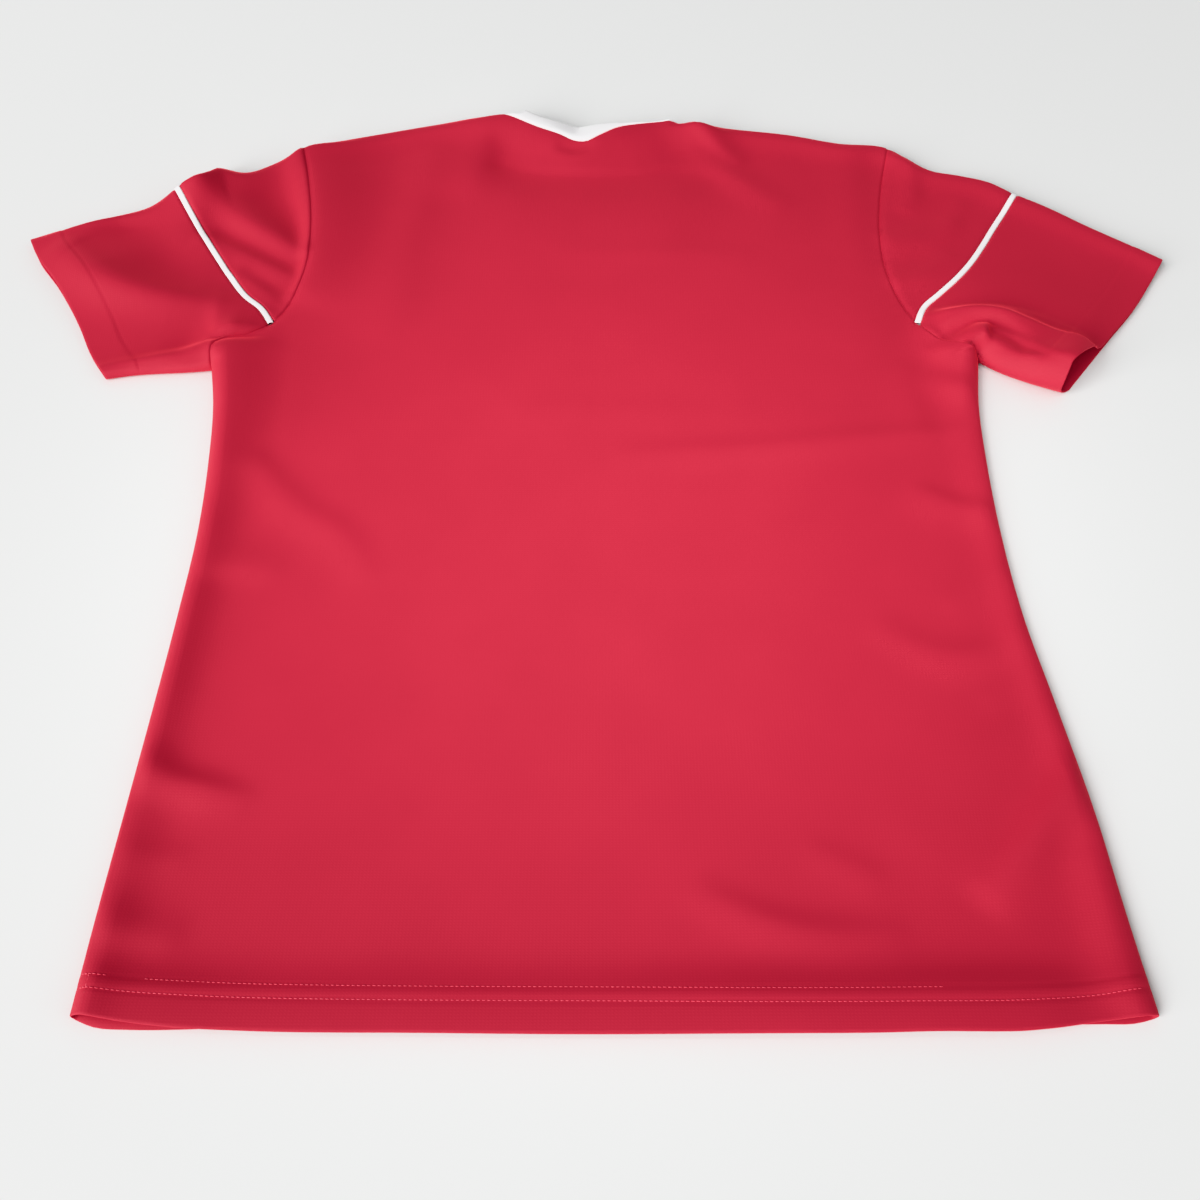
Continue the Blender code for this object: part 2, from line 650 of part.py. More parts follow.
def neckband(name, halves, material):
    """The neckband: a ring from the back neckline round under it along the front neckline."""
    reach = np.linspace(0, 1, BAND_COLUMNS + 1)
    ends = []
    for half in halves:
        ends.append(half.top_edge(half.neck_at + GAP, length(half.top), BAND_COLUMNS + 1))
    layers = []
    for layer, seam, edge in ((upper_layer, BACK_NECKLINE, BACK_BAND_EDGE),
                              (lower_layer, FRONT_NECKLINE, FRONT_BAND_EDGE)):
        seam, edge = smooth(seam), smooth(edge)
        share = np.linspace(0, 1, NECK_COLUMNS + 1)
        first = beside(along(seam, share * length(seam)), GAP / 2)
        last = along(edge, share * length(edge))
        first[0], first[-1] = ends[0][0], ends[1][0]
        last[0], last[-1] = ends[0][-1], ends[1][-1]
        layers.append(layer(patch(first, last, ends[0], ends[1], reach, share)))
    (over, over_normal), (under, under_normal) = layers
    outer = np.vstack([over, under[-2:0:-1]])
    normal = np.vstack([over_normal, under_normal[-2:0:-1]])
    return wall(name, outer, inside(outer, normal), material, ring=True)


def build():
    for item in list(bpy.data.objects):
        bpy.data.objects.remove(item, do_unlink=True)
    red = material("red_jersey_cloth", RED_CLOTH)
    white = material("white_trim", WHITE_TRIM)
    left = Side(LEFT_TOP, LEFT_SIDE, LEFT_UNDERARM, LEFT_ARMHOLE, LEFT_PIPING, LEFT_CUFF, -1)
    right = Side(RIGHT_TOP, RIGHT_SIDE, RIGHT_UNDERARM, RIGHT_ARMHOLE, RIGHT_PIPING,
                 RIGHT_CUFF, 1)
    halves = (left, right)
    body_panel("back", halves, smooth(BACK_HEM), smooth(BACK_NECKLINE), SHOULDER_COLUMNS,
               1, True, red)
    body_panel("front", halves, smooth(FRONT_HEM), smooth(FRONT_NECKLINE),
               FRONT_SHOULDER_COLUMNS, FRONT_SKIP, False, red)
    for half, word in ((left, "left"), (right, "right")):
        sleeve_cap("sleeve_cap_" + word, half, red)
        piping("piping_" + word, half, white)
        sleeve_lower("sleeve_lower_" + word, half, red, lifted=word == "right")
    neckband("neckband", halves, white)


build()
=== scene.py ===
"""Looks of a short-sleeved rugby shirt laid flat on a table, back side up.

The shirt is two layers of thin knitted cloth. The upper layer is the back with the back half of
each sleeve, and the lower layer, flat on the table, is the front with the other halves. The
layers turn into each other along fold lines. One pair of functions gives the height of both
layers over any point of the plan, so all the pieces meet at their seams.

Lengths are in millimetres until a mesh is made. X runs across the shirt, Y from hem to neck and
Z up from the table. In the tables Y counts from the hem.
"""

import math

import bmesh
import bpy
import numpy as np
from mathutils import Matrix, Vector


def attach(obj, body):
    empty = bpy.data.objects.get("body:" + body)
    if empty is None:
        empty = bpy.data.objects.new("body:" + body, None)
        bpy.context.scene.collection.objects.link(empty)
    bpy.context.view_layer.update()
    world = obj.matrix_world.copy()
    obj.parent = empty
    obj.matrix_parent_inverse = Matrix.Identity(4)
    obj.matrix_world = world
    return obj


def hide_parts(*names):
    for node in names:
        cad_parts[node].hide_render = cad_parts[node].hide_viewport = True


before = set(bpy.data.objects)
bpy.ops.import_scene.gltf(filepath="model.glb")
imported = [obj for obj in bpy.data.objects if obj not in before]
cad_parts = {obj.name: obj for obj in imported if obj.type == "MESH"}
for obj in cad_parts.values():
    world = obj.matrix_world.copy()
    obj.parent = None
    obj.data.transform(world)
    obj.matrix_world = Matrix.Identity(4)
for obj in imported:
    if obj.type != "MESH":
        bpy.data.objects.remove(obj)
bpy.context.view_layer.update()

MM = 0.001

# Cloth
WALL = 0.8              # thickness of the cloth
GAP = 0.1               # between two pieces at a seam
LAY = 2.7               # height of the upper layer where it lies on the lower one
AIR = 0.6               # how far it stands off that where no fold lifts it
SETTLE = 0.2            # how softly the upper layer comes down on the lower one
RISE = 5.5              # folds have their full height this far inside a rounded edge
HEM_TO_ORIGIN = 345.0   # the origin lies on the table under the middle of the shirt

# Piping
PIPING_WIDTH = 4.2
PIPING_PROUD = 0.9      # how far it stands above the cloth on the upper layer
PIPING_START = 0.5      # share of that at the top edge, where it turns under
PIPING_ROUND = 4        # power of its rounded top: 2 is a half circle, more is squarer
PIPING_STOP = 1.0       # it ends this far before the armhole seam
CAP_STOP = 3.4          # and the cap panel, narrowed to a tip, this far before it

# Grid of each piece
CURL = 6                # steps round a quarter of a folded edge
SIDE_ROWS = 190         # body rows from hem to underarm
HEM_BAND, HEM_BAND_ROWS = 26.0, 24  # the closer rows over the hem
SHOULDER_COLUMNS = 36
NECK_COLUMNS = 44
ARMHOLE_LOW = 12        # armhole steps from underarm to piping
ARMHOLE_HIGH = 72       # and from piping to shoulder tip
CAP_COLUMNS = 44
SLEEVE_COLUMNS = 84
BAND_COLUMNS = 8
PIPING_COLUMNS = 8
FRONT_SKIP = 3          # the flat front needs every third of the side rows only
END_BLEND = 14.0        # an offset seam bends towards its end over this length
NECK_BLEND = 6.0        # the body's rows have the neckline's shape this far below it
HEM_BLEND = 45.0        # and have lost the hem's shape this far above it
CUFF_BLEND = 3          # power with which the drawing back of a cuff fades up the sleeve

# Camera: a phone's main camera, held over the hem and tilted down
CAMERA_HEIGHT = 0.594
CAMERA_BACK = 0.482     # from the shirt's origin towards the hem
CAMERA_TILT = 57.3      # degrees below the horizon
FOCAL_PIXELS, FRAME_PIXELS = 1203, 1200
SENSOR = 36.0

# Table and light, in metres and watts
FLOOR_SIDE = 6.0
FLOOR_TOP = -0.0003
FLOOR_COLOUR = (0.84, 0.845, 0.84)
FLOOR_ROUGHNESS = 0.6
WORLD_COLOUR = (1.0, 1.0, 1.0)
WORLD_STRENGTH = 0.17
# Columns: name, side, power, place, point it is turned to
WINDOWS = (
    ("window", 9.0, 1880, (-6.2, -5.2, 4.9), (0, 0, 0)),
    ("window_right", 6.0, 120, (6.5, -2.0, 3.4), (0, 0, 0)),
)
# A lamp that is brightest over the middle of the shirt: name, radius, power, place, point it is
# turned to, width of its cone in degrees and how much of the cone fades
LAMP = ("lamp", 0.15, 47, (-0.03, -0.2, 1.4), (0, -0.05, 0), 29, 1.0)

# Knits, with linear colours: name, colour, darker colour for uneven dye and for painted shade in the
# knit's hollows, roughness, sheen, its colour
RED_KNIT = ("red_jersey", (0.455, 0.036, 0.06), (0.42, 0.033, 0.055), 0.7, 0.95,
            (1.0, 0.12, 0.16))
WHITE_KNIT = ("white_trim_cloth", (0.95, 0.94, 0.95), (0.89, 0.88, 0.89), 0.55, 0.5, (1, 1, 1))
SHEEN_ROUGHNESS, SPECULAR = 0.45, 0.2
# Wales, 1.7 mm apart, and courses, 1.5 mm apart. Columns: direction, scale, detail
KNIT_ROWS = (("X", 180.0, 1.0), ("Y", 210.0, 2.0))
KNIT_WAVER = 0.6        # how far they wander
NAP_SCALE, NAP_DETAIL, NAP_SHARE = 900.0, 3.0, 0.5
KNIT_STRENGTH, KNIT_HEIGHT = 0.25, 0.00012
CLOUD_SCALE, CLOUD_DETAIL = 14.0, 4.0  # the uneven tone of the dye
LOOP_SHADE_SHARE = 0.15        # share that the loops have in the tone: painted shade in the hollows between them
TONE_RANGE = (0.25, 0.85)  # tones of the darker colour (uneven dye and painted shade in the hollows) and of the full colour

THREAD_RED, THREAD_SHADE = (0.8, 0.09, 0.14), 0.72
THREAD_SCALE, THREAD_STRENGTH, THREAD_HEIGHT = 1500.0, 0.4, 0.0001
THREAD_ROUGHNESS = 0.5

# Rows of stitches in the hem. Columns: name, height above the seam line, where it starts and ends
HEM_STITCHES = (
    ("hem_stitches_low", 0.0, -250, 262),
    ("hem_stitches_high", 6.8, -220, 168),
    ("hem_stitches_corner", 6.8, -251, -236),
)
# The bar tack beside the left side seam
TACK = ((-246.0, 25.2), (-245.5, 17.6))

# Fold lines. Columns: x, y, radius of the round edge, width over which its height fades inwards.
LEFT_SIDE = (
    (-253, 6, 3.2, 14), (-251.5, 50, 3.4, 14), (-249.5, 100, 3.2, 16), (-247, 160, 3, 14),
    (-244.5, 230, 3, 14), (-243.5, 290, 3.2, 16), (-246.5, 345, 3.4, 24), (-251.5, 392, 4, 36),
    (-258, 424, 4.2, 36),
)
RIGHT_SIDE = (
    (267, 6.2, 3, 12), (263, 55, 3, 14), (259.5, 106, 3.2, 14), (251.5, 176, 3, 12),
    (245, 229, 3, 12), (242.5, 290, 3, 12), (243.5, 347, 3.2, 14), (246, 389, 3.6, 16),
    (252.5, 432, 4.4, 18),
)
LEFT_UNDERARM = (
    (-258, 424, 4.2, 36), (-276, 422.5, 3.6, 16), (-296, 421.5, 3.2, 14), (-312, 420, 3, 12),
    (-327, 417, 3, 10),
)
RIGHT_UNDERARM = (
    (252.5, 432, 4.4, 18), (263, 423, 5.5, 20), (277, 414, 7, 22), (292, 406, 9, 24),
    (303, 401, 10, 26),
)
# The sleeve's top edge, the shoulder and the neckband's end, as one line.
LEFT_TOP = (
    (-410, 550, 3, 10), (-391, 559, 3, 8), (-352, 574, 3.4, 8), (-331, 582, 4.4, 14),
    (-314, 600, 4.8, 18),   # piping
    (-299, 608.5, 4.9, 18), (-288, 624.5, 5.2, 18), (-265, 621.5, 4.4, 17), (-246, 633, 4, 15),
    (-226, 651, 3.6, 14),   # shoulder tip
    (-195, 662, 3.4, 14), (-160, 672, 3.4, 14), (-123, 681, 3.8, 16),
    (-88, 688, 4.4, 20),    # neck point
    (-66, 689, 3.4, 16),    # free edge of the neckband
)
RIGHT_TOP = (
    (400, 529, 3, 12), (385, 541, 3, 12), (355, 564, 3, 14), (325, 588, 3.2, 14),
    (308, 599, 3.4, 14),    # piping
    (291, 613, 3.2, 14), (270, 621, 3, 14), (249, 627, 3, 14), (233, 641, 3.2, 14),
    (220, 652, 3.4, 14),    # shoulder tip
    (183, 658, 3.4, 14), (147, 668, 3.4, 14), (101, 675, 3.8, 16),
    (73, 679, 4.4, 20),     # neck point
    (62, 679, 4.2, 18),     # free edge of the neckband
)
# Rows at the piping, the shoulder tip and the neck point
TOP_PIPING, TOP_TIP, TOP_NECK = 4, 9, 13

# Armhole seams from the shoulder tip to the underarm. Columns: x, y. The piping joins at one row.
LEFT_ARMHOLE = (
    (-226, 651), (-216, 607), (-208.5, 560), (-207.5, 520), (-214, 489),
    (-225, 467),            # piping
    (-238, 455), (-250.5, 450), (-258, 440), (-258, 424),
)
RIGHT_ARMHOLE = (
    (220, 652), (208, 597), (202.5, 555), (202.5, 520), (208.5, 488),
    (217, 467),             # piping
    (224, 454), (233, 445), (244, 438), (252.5, 432),
)
ARMHOLE_PIPING = 5

# Piping from the sleeve's top edge to the armhole seam. Columns: x, y.
LEFT_PIPING = ((-314, 600), (-298, 573), (-284.5, 550), (-271, 528.5), (-258, 508.5),
               (-244.5, 490), (-233.5, 480), (-225, 467))
RIGHT_PIPING = ((308, 599), (298, 583), (286.5, 564.5), (274.5, 544), (261.5, 524),
                (248.5, 508), (235.5, 494.5), (225, 484), (217, 467))

# Cut edges. Columns: x, y.
LEFT_CUFF = ((-410, 550), (-400, 531), (-380, 504), (-353, 460), (-341, 437), (-327, 417))
RIGHT_CUFF = ((400, 529), (388, 510), (369, 482), (346, 454), (324, 427), (303, 401))
BACK_HEM = ((-253, 6), (-242, 4.8), (-226, 2.6), (-205, 0.4), (-170, -1.2), (-80, -2.2),
            (0, -2.8), (80, -2.7), (133, -2.4), (160, -1.8), (180, -1.9), (197, -1.7),
            (217, 0.2), (237, 3.2), (267, 6.2))
HEM_SEAM = ((-253, 18.4), (-224, 16.2), (-190, 14.6), (-125, 13.2), (0, 12.4), (80, 11.6),
            (150, 11.8), (200, 12.4), (238, 15.2), (267, 19))
FRONT_HEM = ((-253, 6), (-242, 2), (-225, 0.8), (-200, 0.9), (-172, 2), (-130, 2.4), (0, 2),
             (120, 2.8), (185, 3.6), (215, 3.4), (240, 3.4), (257, 3.8), (267, 6.2))
BACK_NECKLINE = ((-88, 688), (-68, 678), (-48, 668.5), (-30, 660), (-20, 654), (-10, 653),
                 (0, 658.5), (14, 667), (31, 672.6), (55, 676.8), (73, 679))
BACK_BAND_EDGE = ((-66, 689), (-50, 682), (-31, 677), (-8, 673), (14, 671.5), (35, 674.2),
                  (62, 679))
FRONT_NECKLINE = ((-88, 688), (-76, 655), (-52, 618), (-4, 598), (43, 615), (65, 650), (73, 679))
FRONT_BAND_EDGE = ((-66, 689), (-58, 661), (-41, 634), (-4, 618), (32, 632), (50, 657), (62, 679))

# How far the lifted cuff of the right sleeve is drawn back.
# Columns: distance from the underarm edge, inset.
CUFF_DRAWN_BACK = ((0, 3), (12, 6), (34, 3), (52, 0))
CUFF_DRAWN_BELOW = ((0, 3), (10, 0))

# Folds of the upper layer. A point of a route is x, y, height and the widths over which the
# fold fades on the left and on the right of the route.
FOLDS = {
    # neckline and shoulders
    "neckline": ((-92, 700, 2, 26, 24), (-78, 687, 5, 26, 26), (-50, 674, 8, 26, 28),
        (-19, 654, 7.6, 22, 23), (17, 668, 9, 26, 28), (34, 671, 7.4, 26, 28), (52, 674, 3.9, 26, 27),
        (74, 678, 3.6, 26, 24), (92, 690, 1, 26, 20)),
    "foot of the neckline": ((-88, 642, -0.3, 7, 16), (-70, 630, -1, 7, 20), (-50, 623, -1.3, 7, 22),
        (-20, 620, -1.4, 6, 24), (30, 621, -1.3, 7, 24), (60, 625, -1, 7, 22), (80, 619, -0.7, 7, 20),
        (98, 602, -0.3, 7, 16)),
    "dimple under the neckline": ((-36, 650, -0.5, 6, 5), (-20, 646, -1.8, 7, 5),
        (-2, 650, -0.5, 6, 5)),
    "upper back, broad": ((-120, 585, 0.8, 32, 60), (-50, 592, 1.9, 32, 60), (30, 592, 1.9, 32, 60),
        (110, 585, 0.8, 32, 60)),
    "hollow left of the neckline": ((-80, 674, -0.8, 10, 10), (-76, 656, -1.8, 14, 12),
        (-72, 636, -1.8, 18, 16), (-70, 616, -0.6, 20, 18)),
    "left of the neck": ((-76, 702, 3.6, 22, 40), (-84, 676, 3.6, 22, 40), (-91, 650, 3.4, 22, 40),
        (-97, 618, 2.4, 20, 40), (-104, 580, 0.4, 14, 30)),
    "right of the neck, sharp": ((64, 692, 3.4, 13, 8), (74, 676, 3.4, 13, 8), (88, 657, 2.8, 13, 7),
        (103, 640, 1.4, 12, 6), (112, 630, 0.4, 12, 6)),
    "right of the neck": ((72, 656, 0.6, 13, 13), (84, 643, 1.5, 13, 13), (100, 622, 1.9, 14, 13),
        (118, 602, 1.5, 14, 13), (144, 580, 0.3, 12, 12)),
    "upper back": ((-40, 536, 0.1, 9, 12), (10, 537, 0.6, 9, 13), (60, 537, 0.6, 9, 13),
        (115, 533, 0.2, 9, 12)),
    "left shoulder": ((-122, 665, 0.6, 16, 18), (-128, 640, 1, 16, 18), (-133, 600, 1.3, 18, 20),
        (-140, 550, 1, 18, 20), (-142, 500, 0.9, 18, 22), (-154, 440, 0.3, 16, 20)),
    "left armhole": ((-233, 672, 5, 36, 16), (-226, 645, 5.8, 38, 16), (-217, 612, 6.6, 40, 15),
        (-210, 575, 6.2, 38, 10), (-207, 545, 5, 34, 7), (-208, 510, 3.4, 30, 6),
        (-217, 480, 1.4, 26, 6)),
    "right shoulder": ((193, 664, 0.8, 14, 18), (189, 630, 1.3, 14, 18), (187, 590, 1.3, 14, 18),
        (184, 545, 0.8, 14, 18), (182, 500, 0.3, 14, 18)),
    # back
    "chest crease": ((2, 350, 0.2, 9, 13), (40, 353, 0.7, 9, 13), (80, 355, 1, 9, 13),
        (120, 359, 1.2, 9, 13), (165, 365, 1.2, 9, 12), (210, 368, 0.9, 9, 12), (240, 371, 0.3, 8, 10)),
    "across the back": ((-70, 390, 0.1, 12, 14), (0, 388, 0.4, 11, 15), (50, 387, 0.4, 11, 15),
        (110, 388, 0.1, 10, 14)),
    "under the right arm": ((206, 420, 0.4, 9, 12), (220, 414, 1.2, 9, 12), (234, 406, 1.9, 8, 12),
        (250, 397, 1.6, 8, 12), (264, 389, 0.6, 8, 12)),
    "right armpit": ((212, 470, 0.6, 5, 18), (222, 458, 1.6, 4, 18), (231, 446, 2.2, 4, 18),
        (241, 440, 2.2, 4, 17), (251, 435, 1.6, 4, 16), (262, 430, 0.5, 4, 14)),
    "beside the right arm": ((202, 438, 0.4, 9, 15), (203, 414, 0.8, 9, 15), (204, 392, 0.7, 9, 15),
        (208, 356, 0.3, 9, 14)),
    "right side high": ((188, 330, 0.3, 8, 13), (204, 318, 1.2, 8, 14), (222, 309, 1.6, 8, 14),
        (241, 304, 1.2, 8, 13), (256, 300, 0.5, 8, 12)),
    "right side middle": ((196, 233, 0.2, 7, 9), (212, 245, 0.6, 7, 9), (228, 259, 0.8, 7, 9),
        (252, 276, 0.4, 7, 9)),
    "right side bowl": ((152, 233, 0.2, 11, 10), (170, 216, 0.8, 11, 11), (186, 207, 1.2, 11, 12),
        (205, 203, 1.4, 11, 13), (223, 208, 1.4, 10, 13), (240, 221, 1, 9, 11), (254, 236, 0.4, 9, 10)),
    "right side low": ((206, 172, 0.2, 8, 9), (228, 184, 0.6, 8, 9), (254, 200, 0.3, 8, 9)),
    "right corner": ((186, 56, 0.4, 13, 14), (206, 74, 2.8, 12, 14), (223, 94, 4.4, 11, 14),
        (238, 113, 4.6, 11, 14), (250, 128, 3, 11, 12), (262, 144, 0.8, 11, 12)),
    "above the right corner": ((140, 84, 0.2, 22, 20), (176, 112, 1, 22, 24), (206, 140, 1.6, 22, 24),
        (232, 162, 1.2, 18, 22), (262, 186, 0.4, 14, 18)),
    "right edge": ((251, 2, 1.4, 13, 9), (251, 30, 1.6, 13, 9), (251, 62, 1.3, 12, 9),
        (250, 95, 0.4, 10, 9)),
    "low on the right": ((40, 75, 0.2, 9, 11), (60, 62, 0.9, 9, 12), (82, 52, 1.4, 9, 13),
        (108, 46, 1.4, 9, 13), (135, 45, 0.8, 9, 12), (158, 46, 0.2, 9, 11)),
    "hem right of the middle": ((98, 94, 0.1, 8, 11), (118, 85, 0.6, 8, 11), (132, 78, 0.6, 8, 11),
        (150, 70, 0.1, 8, 11)),
    "left side high": ((-224, 357, 0.4, 10, 12), (-211, 338, 1.4, 10, 13), (-196, 319, 1.6, 11, 14),
        (-178, 303, 1.5, 11, 15), (-160, 291, 1.3, 11, 15), (-146, 274, 0.8, 10, 14),
        (-134, 248, 0.2, 10, 12)),
    "left side, middle": ((-256, 260, 0.8, 14, 9), (-240, 264, 1.4, 14, 10), (-221, 267, 1.4, 14, 11),
        (-202, 265, 1, 14, 11), (-182, 256, 0.2, 12, 10)),
    "left armpit": ((-206, 480, 0.2, 36, 12), (-199, 435, 0.7, 40, 11), (-197, 385, 0.7, 40, 10),
        (-198, 330, 0.2, 34, 9)),
    "left side": ((-243, 474, 0.6, 22, 10), (-250, 450, 3.8, 29, 10), (-251, 420, 4.8, 29, 9),
        (-249, 380, 5, 27, 9), (-246, 345, 4.6, 23, 9), (-245, 312, 3, 18, 9), (-245, 288, 3.4, 17, 9),
        (-246, 262, 2, 15, 9), (-247, 245, 3.6, 18, 9), (-248, 210, 4.2, 18, 9), (-250, 170, 4, 17, 9),
        (-252, 140, 2.6, 14, 9), (-253, 112, 0.8, 10, 8)),
    "left side low": ((-258, 146, 1, 12, 11), (-243, 136, 2.6, 11, 11), (-228, 128, 3, 9, 12),
        (-208, 123, 2.4, 8, 13), (-190, 118, 0.9, 8, 12), (-178, 113, 0.1, 8, 12)),
    "left side lower": ((-262, 88, 0.3, 9, 10), (-243, 86, 0.7, 9, 10), (-226, 85, 0.6, 8, 10),
        (-204, 85, 0.1, 8, 10)),
    "left corner": ((-268, 52, 1, 12, 10), (-250, 50, 2, 12, 10), (-228, 46, 1.6, 12, 10),
        (-200, 42, 0.5, 11, 9)),
    "hem": ((-272, 20, 3.2, 14, 40), (-250, 17, 3.4, 14, 40), (-215, 16, 2.8, 13, 40),
        (-180, 15, 1.8, 12, 40), (-90, 14, 1.6, 13, 40), (0, 14, 1.6, 12, 40), (40, 15, 2.4, 12, 40),
        (120, 15, 2.8, 13, 40), (215, 17, 2.4, 12, 40), (236, 18, 1, 11, 30), (262, 20, 0.5, 11, 30),
        (282, 22, 0.2, 11, 30)),
    "hem edge": ((-280, 0, 2, 24, 20), (-180, -1, 2, 24, 20), (0, -2, 2, 24, 20),
        (120, -1, 2.4, 24, 20), (220, 1, 1.6, 24, 20), (282, 3, 0.8, 20, 20)),
    # left sleeve
    "left sleeve": ((-420, 552, 1.5, 34, 24), (-396, 541, 4.2, 40, 24), (-376, 529, 6.6, 44, 24),
        (-352, 509, 8.4, 44, 23), (-325, 494, 8, 36, 21), (-300, 487, 6.6, 30, 20),
        (-280, 484, 5.4, 26, 20), (-258, 481, 3.6, 20, 20), (-238, 478, 1.8, 14, 16),
        (-218, 475, 0.4, 10, 10)),
    "left sleeve, crest": ((-392, 556, 0.4, 9, 14), (-374, 534, 1.2, 10, 14), (-352, 512, 1.6, 11, 14),
        (-325, 496, 1.6, 11, 14), (-300, 488, 1.4, 10, 13), (-270, 483, 0.8, 9, 12),
        (-250, 480, 0.2, 8, 10)),
    "left sleeve, far slope": ((-398, 590, 0.4, 26, 30), (-374, 581, 2.2, 26, 30),
        (-350, 570, 3, 26, 28), (-334, 556, 1.4, 20, 22)),
    "left sleeve, near side": ((-390, 530, 0.2, 30, 30), (-365, 500, 1.6, 30, 34),
        (-335, 475, 2.4, 30, 34), (-300, 462, 2.2, 26, 30), (-262, 462, 0.6, 16, 20)),
    "left sleeve at the piping": ((-310, 624, 3.9, 14, 20), (-300, 600, 5.6, 16, 23),
        (-297, 575, 5.8, 16, 24), (-293, 552, 4.8, 16, 23), (-283, 534, 3.2, 15, 19),
        (-267, 518, 1.6, 14, 15), (-246, 505, 0.3, 12, 10)),
    "left cap": ((-309, 628, 4, 18, 18), (-298, 610, 5, 24, 18), (-284, 594, 6, 28, 18),
        (-270, 579, 6.4, 24, 16), (-254, 565, 6.2, 19, 14), (-238, 553, 5.2, 15, 13),
        (-222, 541, 3.4, 10, 11), (-205, 529, 0.6, 6, 8)),
    "left cap middle": ((-292, 556, 0.6, 9, 10), (-277, 546, 2.2, 9, 11), (-262, 537, 3.2, 9, 12),
        (-244, 526, 3.2, 9, 12), (-228, 517, 2.4, 8, 11), (-210, 508, 0.5, 6, 9)),
    "left cap low": ((-262, 520, 0.4, 7, 6), (-250, 509, 1.6, 7, 7), (-238, 499, 1.8, 7, 8),
        (-220, 486, 0.4, 6, 7)),
    "right underarm seam": ((227, 451, -0.3, 4, 4), (236, 443, -1.6, 4, 6), (244, 438, -2.6, 5, 8),
        (250, 434, -1, 4, 7)),
    "left underarm": ((-340, 418, 0.2, 7, 9), (-318, 423, 0.9, 8, 9), (-300, 428, 1.8, 7, 9),
        (-281, 434, 2.4, 7, 9), (-264, 440, 2.4, 6, 9), (-252, 444, 1, 5, 8)),
    "left tuck": ((-270, 457, 0.5, 14, 6), (-257, 460, 1.6, 16, 5), (-246, 461, 2, 16, 5),
        (-236, 462, 1.2, 14, 5), (-226, 463, 0.3, 10, 5)),
    "under the left tuck": ((-266, 447, -0.4, 4, 5), (-256, 449, -2, 4, 6), (-245, 451, -3, 4, 6),
        (-235, 453, -2, 4, 6), (-226, 458, -0.4, 4, 5)),
    # right sleeve
    "right cap upright": ((232, 664, 1.2, 9, 11), (232, 640, 1.8, 9, 12), (232, 616, 2, 9, 13),
        (229, 594, 1.4, 9, 12), (218, 576, 0.3, 8, 9)),
    "right cap high": ((196, 543, 0.6, 13, 12), (208, 547, 1.3, 13, 13), (224, 551, 1.6, 13, 13),
        (242, 561, 1, 11, 12), (262, 580, 0.2, 9, 10)),
    "right cap low": ((198, 503, 0.5, 10, 10), (210, 507, 1.1, 10, 10), (224, 512, 1.4, 10, 10),
        (240, 524, 0.9, 9, 9), (256, 543, 0.2, 8, 9)),
    "right cap beside the piping": ((270, 600, 0.2, 8, 8), (263, 582, 0.7, 8, 9), (254, 562, 0.9, 8, 9),
        (242, 548, 0.5, 8, 8), (226, 536, 0.1, 8, 8)),
    "right sleeve, far side": ((216, 476, 0.4, 18, 10), (240, 478, 1.8, 30, 10), (270, 478, 4, 42, 10),
        (300, 468, 4.8, 50, 10), (328, 450, 4, 48, 10), (352, 436, 1.4, 32, 10)),
    "right sleeve roll": ((208, 470, 1.5, 8, 24), (221, 470, 3.4, 8, 30), (236, 469, 6.6, 8, 38),
        (254, 468, 9.2, 9, 44), (272, 464, 10, 10, 46), (286, 457, 9.2, 11, 46), (304, 446, 8, 11, 42),
        (322, 436, 8.2, 9, 38), (340, 424, 8.2, 8, 34)),
    "right sleeve roll, crest": ((226, 470, 0.3, 4, 12), (240, 469, 1.2, 5, 14), (256, 468, 1.9, 5, 16),
        (272, 464, 2.2, 5, 16), (286, 457, 2.2, 5, 16), (304, 446, 2.2, 5, 15), (322, 436, 2.2, 5, 14),
        (344, 422, 1.4, 5, 12)),
    "roll, inner crease": ((218, 440, -0.4, 6, 6), (230, 449, -1.8, 6, 6), (241, 455, -3, 5, 7),
        (254, 459, -3.8, 4, 7), (266, 456, -3.2, 5, 7), (277, 448, -1.8, 5, 7), (288, 434, -0.3, 6, 7)),
    "roll, outer crease": ((256, 450, -0.4, 3, 4), (264, 446, -1.4, 3, 4.5), (273, 441, -1.8, 3.5, 5),
        (283, 430, -1.8, 4, 6), (292, 419, -1.2, 4, 6), (306, 408, -0.3, 5, 6)),
    "edge over the armpit": ((262, 462, 0.5, 3, 12), (258, 451, 2.6, 3, 12), (256, 444, 3.2, 2.5, 12),
        (252, 434, 2.6, 2.5, 12), (248, 424, 0.5, 2.5, 12)),
    "hollow by the armpit": ((254, 438, -0.5, 7, 7), (262, 433, -1.8, 7, 7), (272, 430, -2, 8, 7),
        (286, 423, -0.4, 8, 7)),
}

# Seams of the upper layer: their groove, gentler on the right of an armhole seam
SEAM_DEPTH, SEAM_WIDTH, SEAM_FLANK = 0.8, 0.8, 3.2
# Puckers beside the armholes: height, distance apart and reach. Along the seam their places
# wander by so many radians of a wave and their heights vary by a share, each at its own pace.
PUCKER, PUCKER_STEP, PUCKER_REACH = 0.16, 13.0, 9.0
PLACES_WANDER, PLACES_PACE = 1.7, 0.23
HEIGHTS_VARY, HEIGHTS_PACE, HEIGHTS_START = 0.4, 0.31, 1.0

# Rows of stitches, measured from the hem's seam line or from the edge of a cuff
HEM_ROWS = (0.0, 6.8)
CUFF_ROWS = (22.5,)
HEM_RAISE = 0.4         # how far a turned-up hem stands above the cloth beside it
HEM_PAST = 1.0          # and how far it goes on past its last row
STITCH_DEPTH, STITCH_WIDTH = 0.42, 1.1  # the trough that a row presses into the cloth
STITCH_STEP, STITCH_LENGTH, STITCH_THICK = 2.5, 1.8, 0.22
STITCH_LIFT = 0.12      # from the cloth to a stitch's middle
STITCH_FLAT = 1.3       # how much wider than high it is
STITCH_SIDES = 6
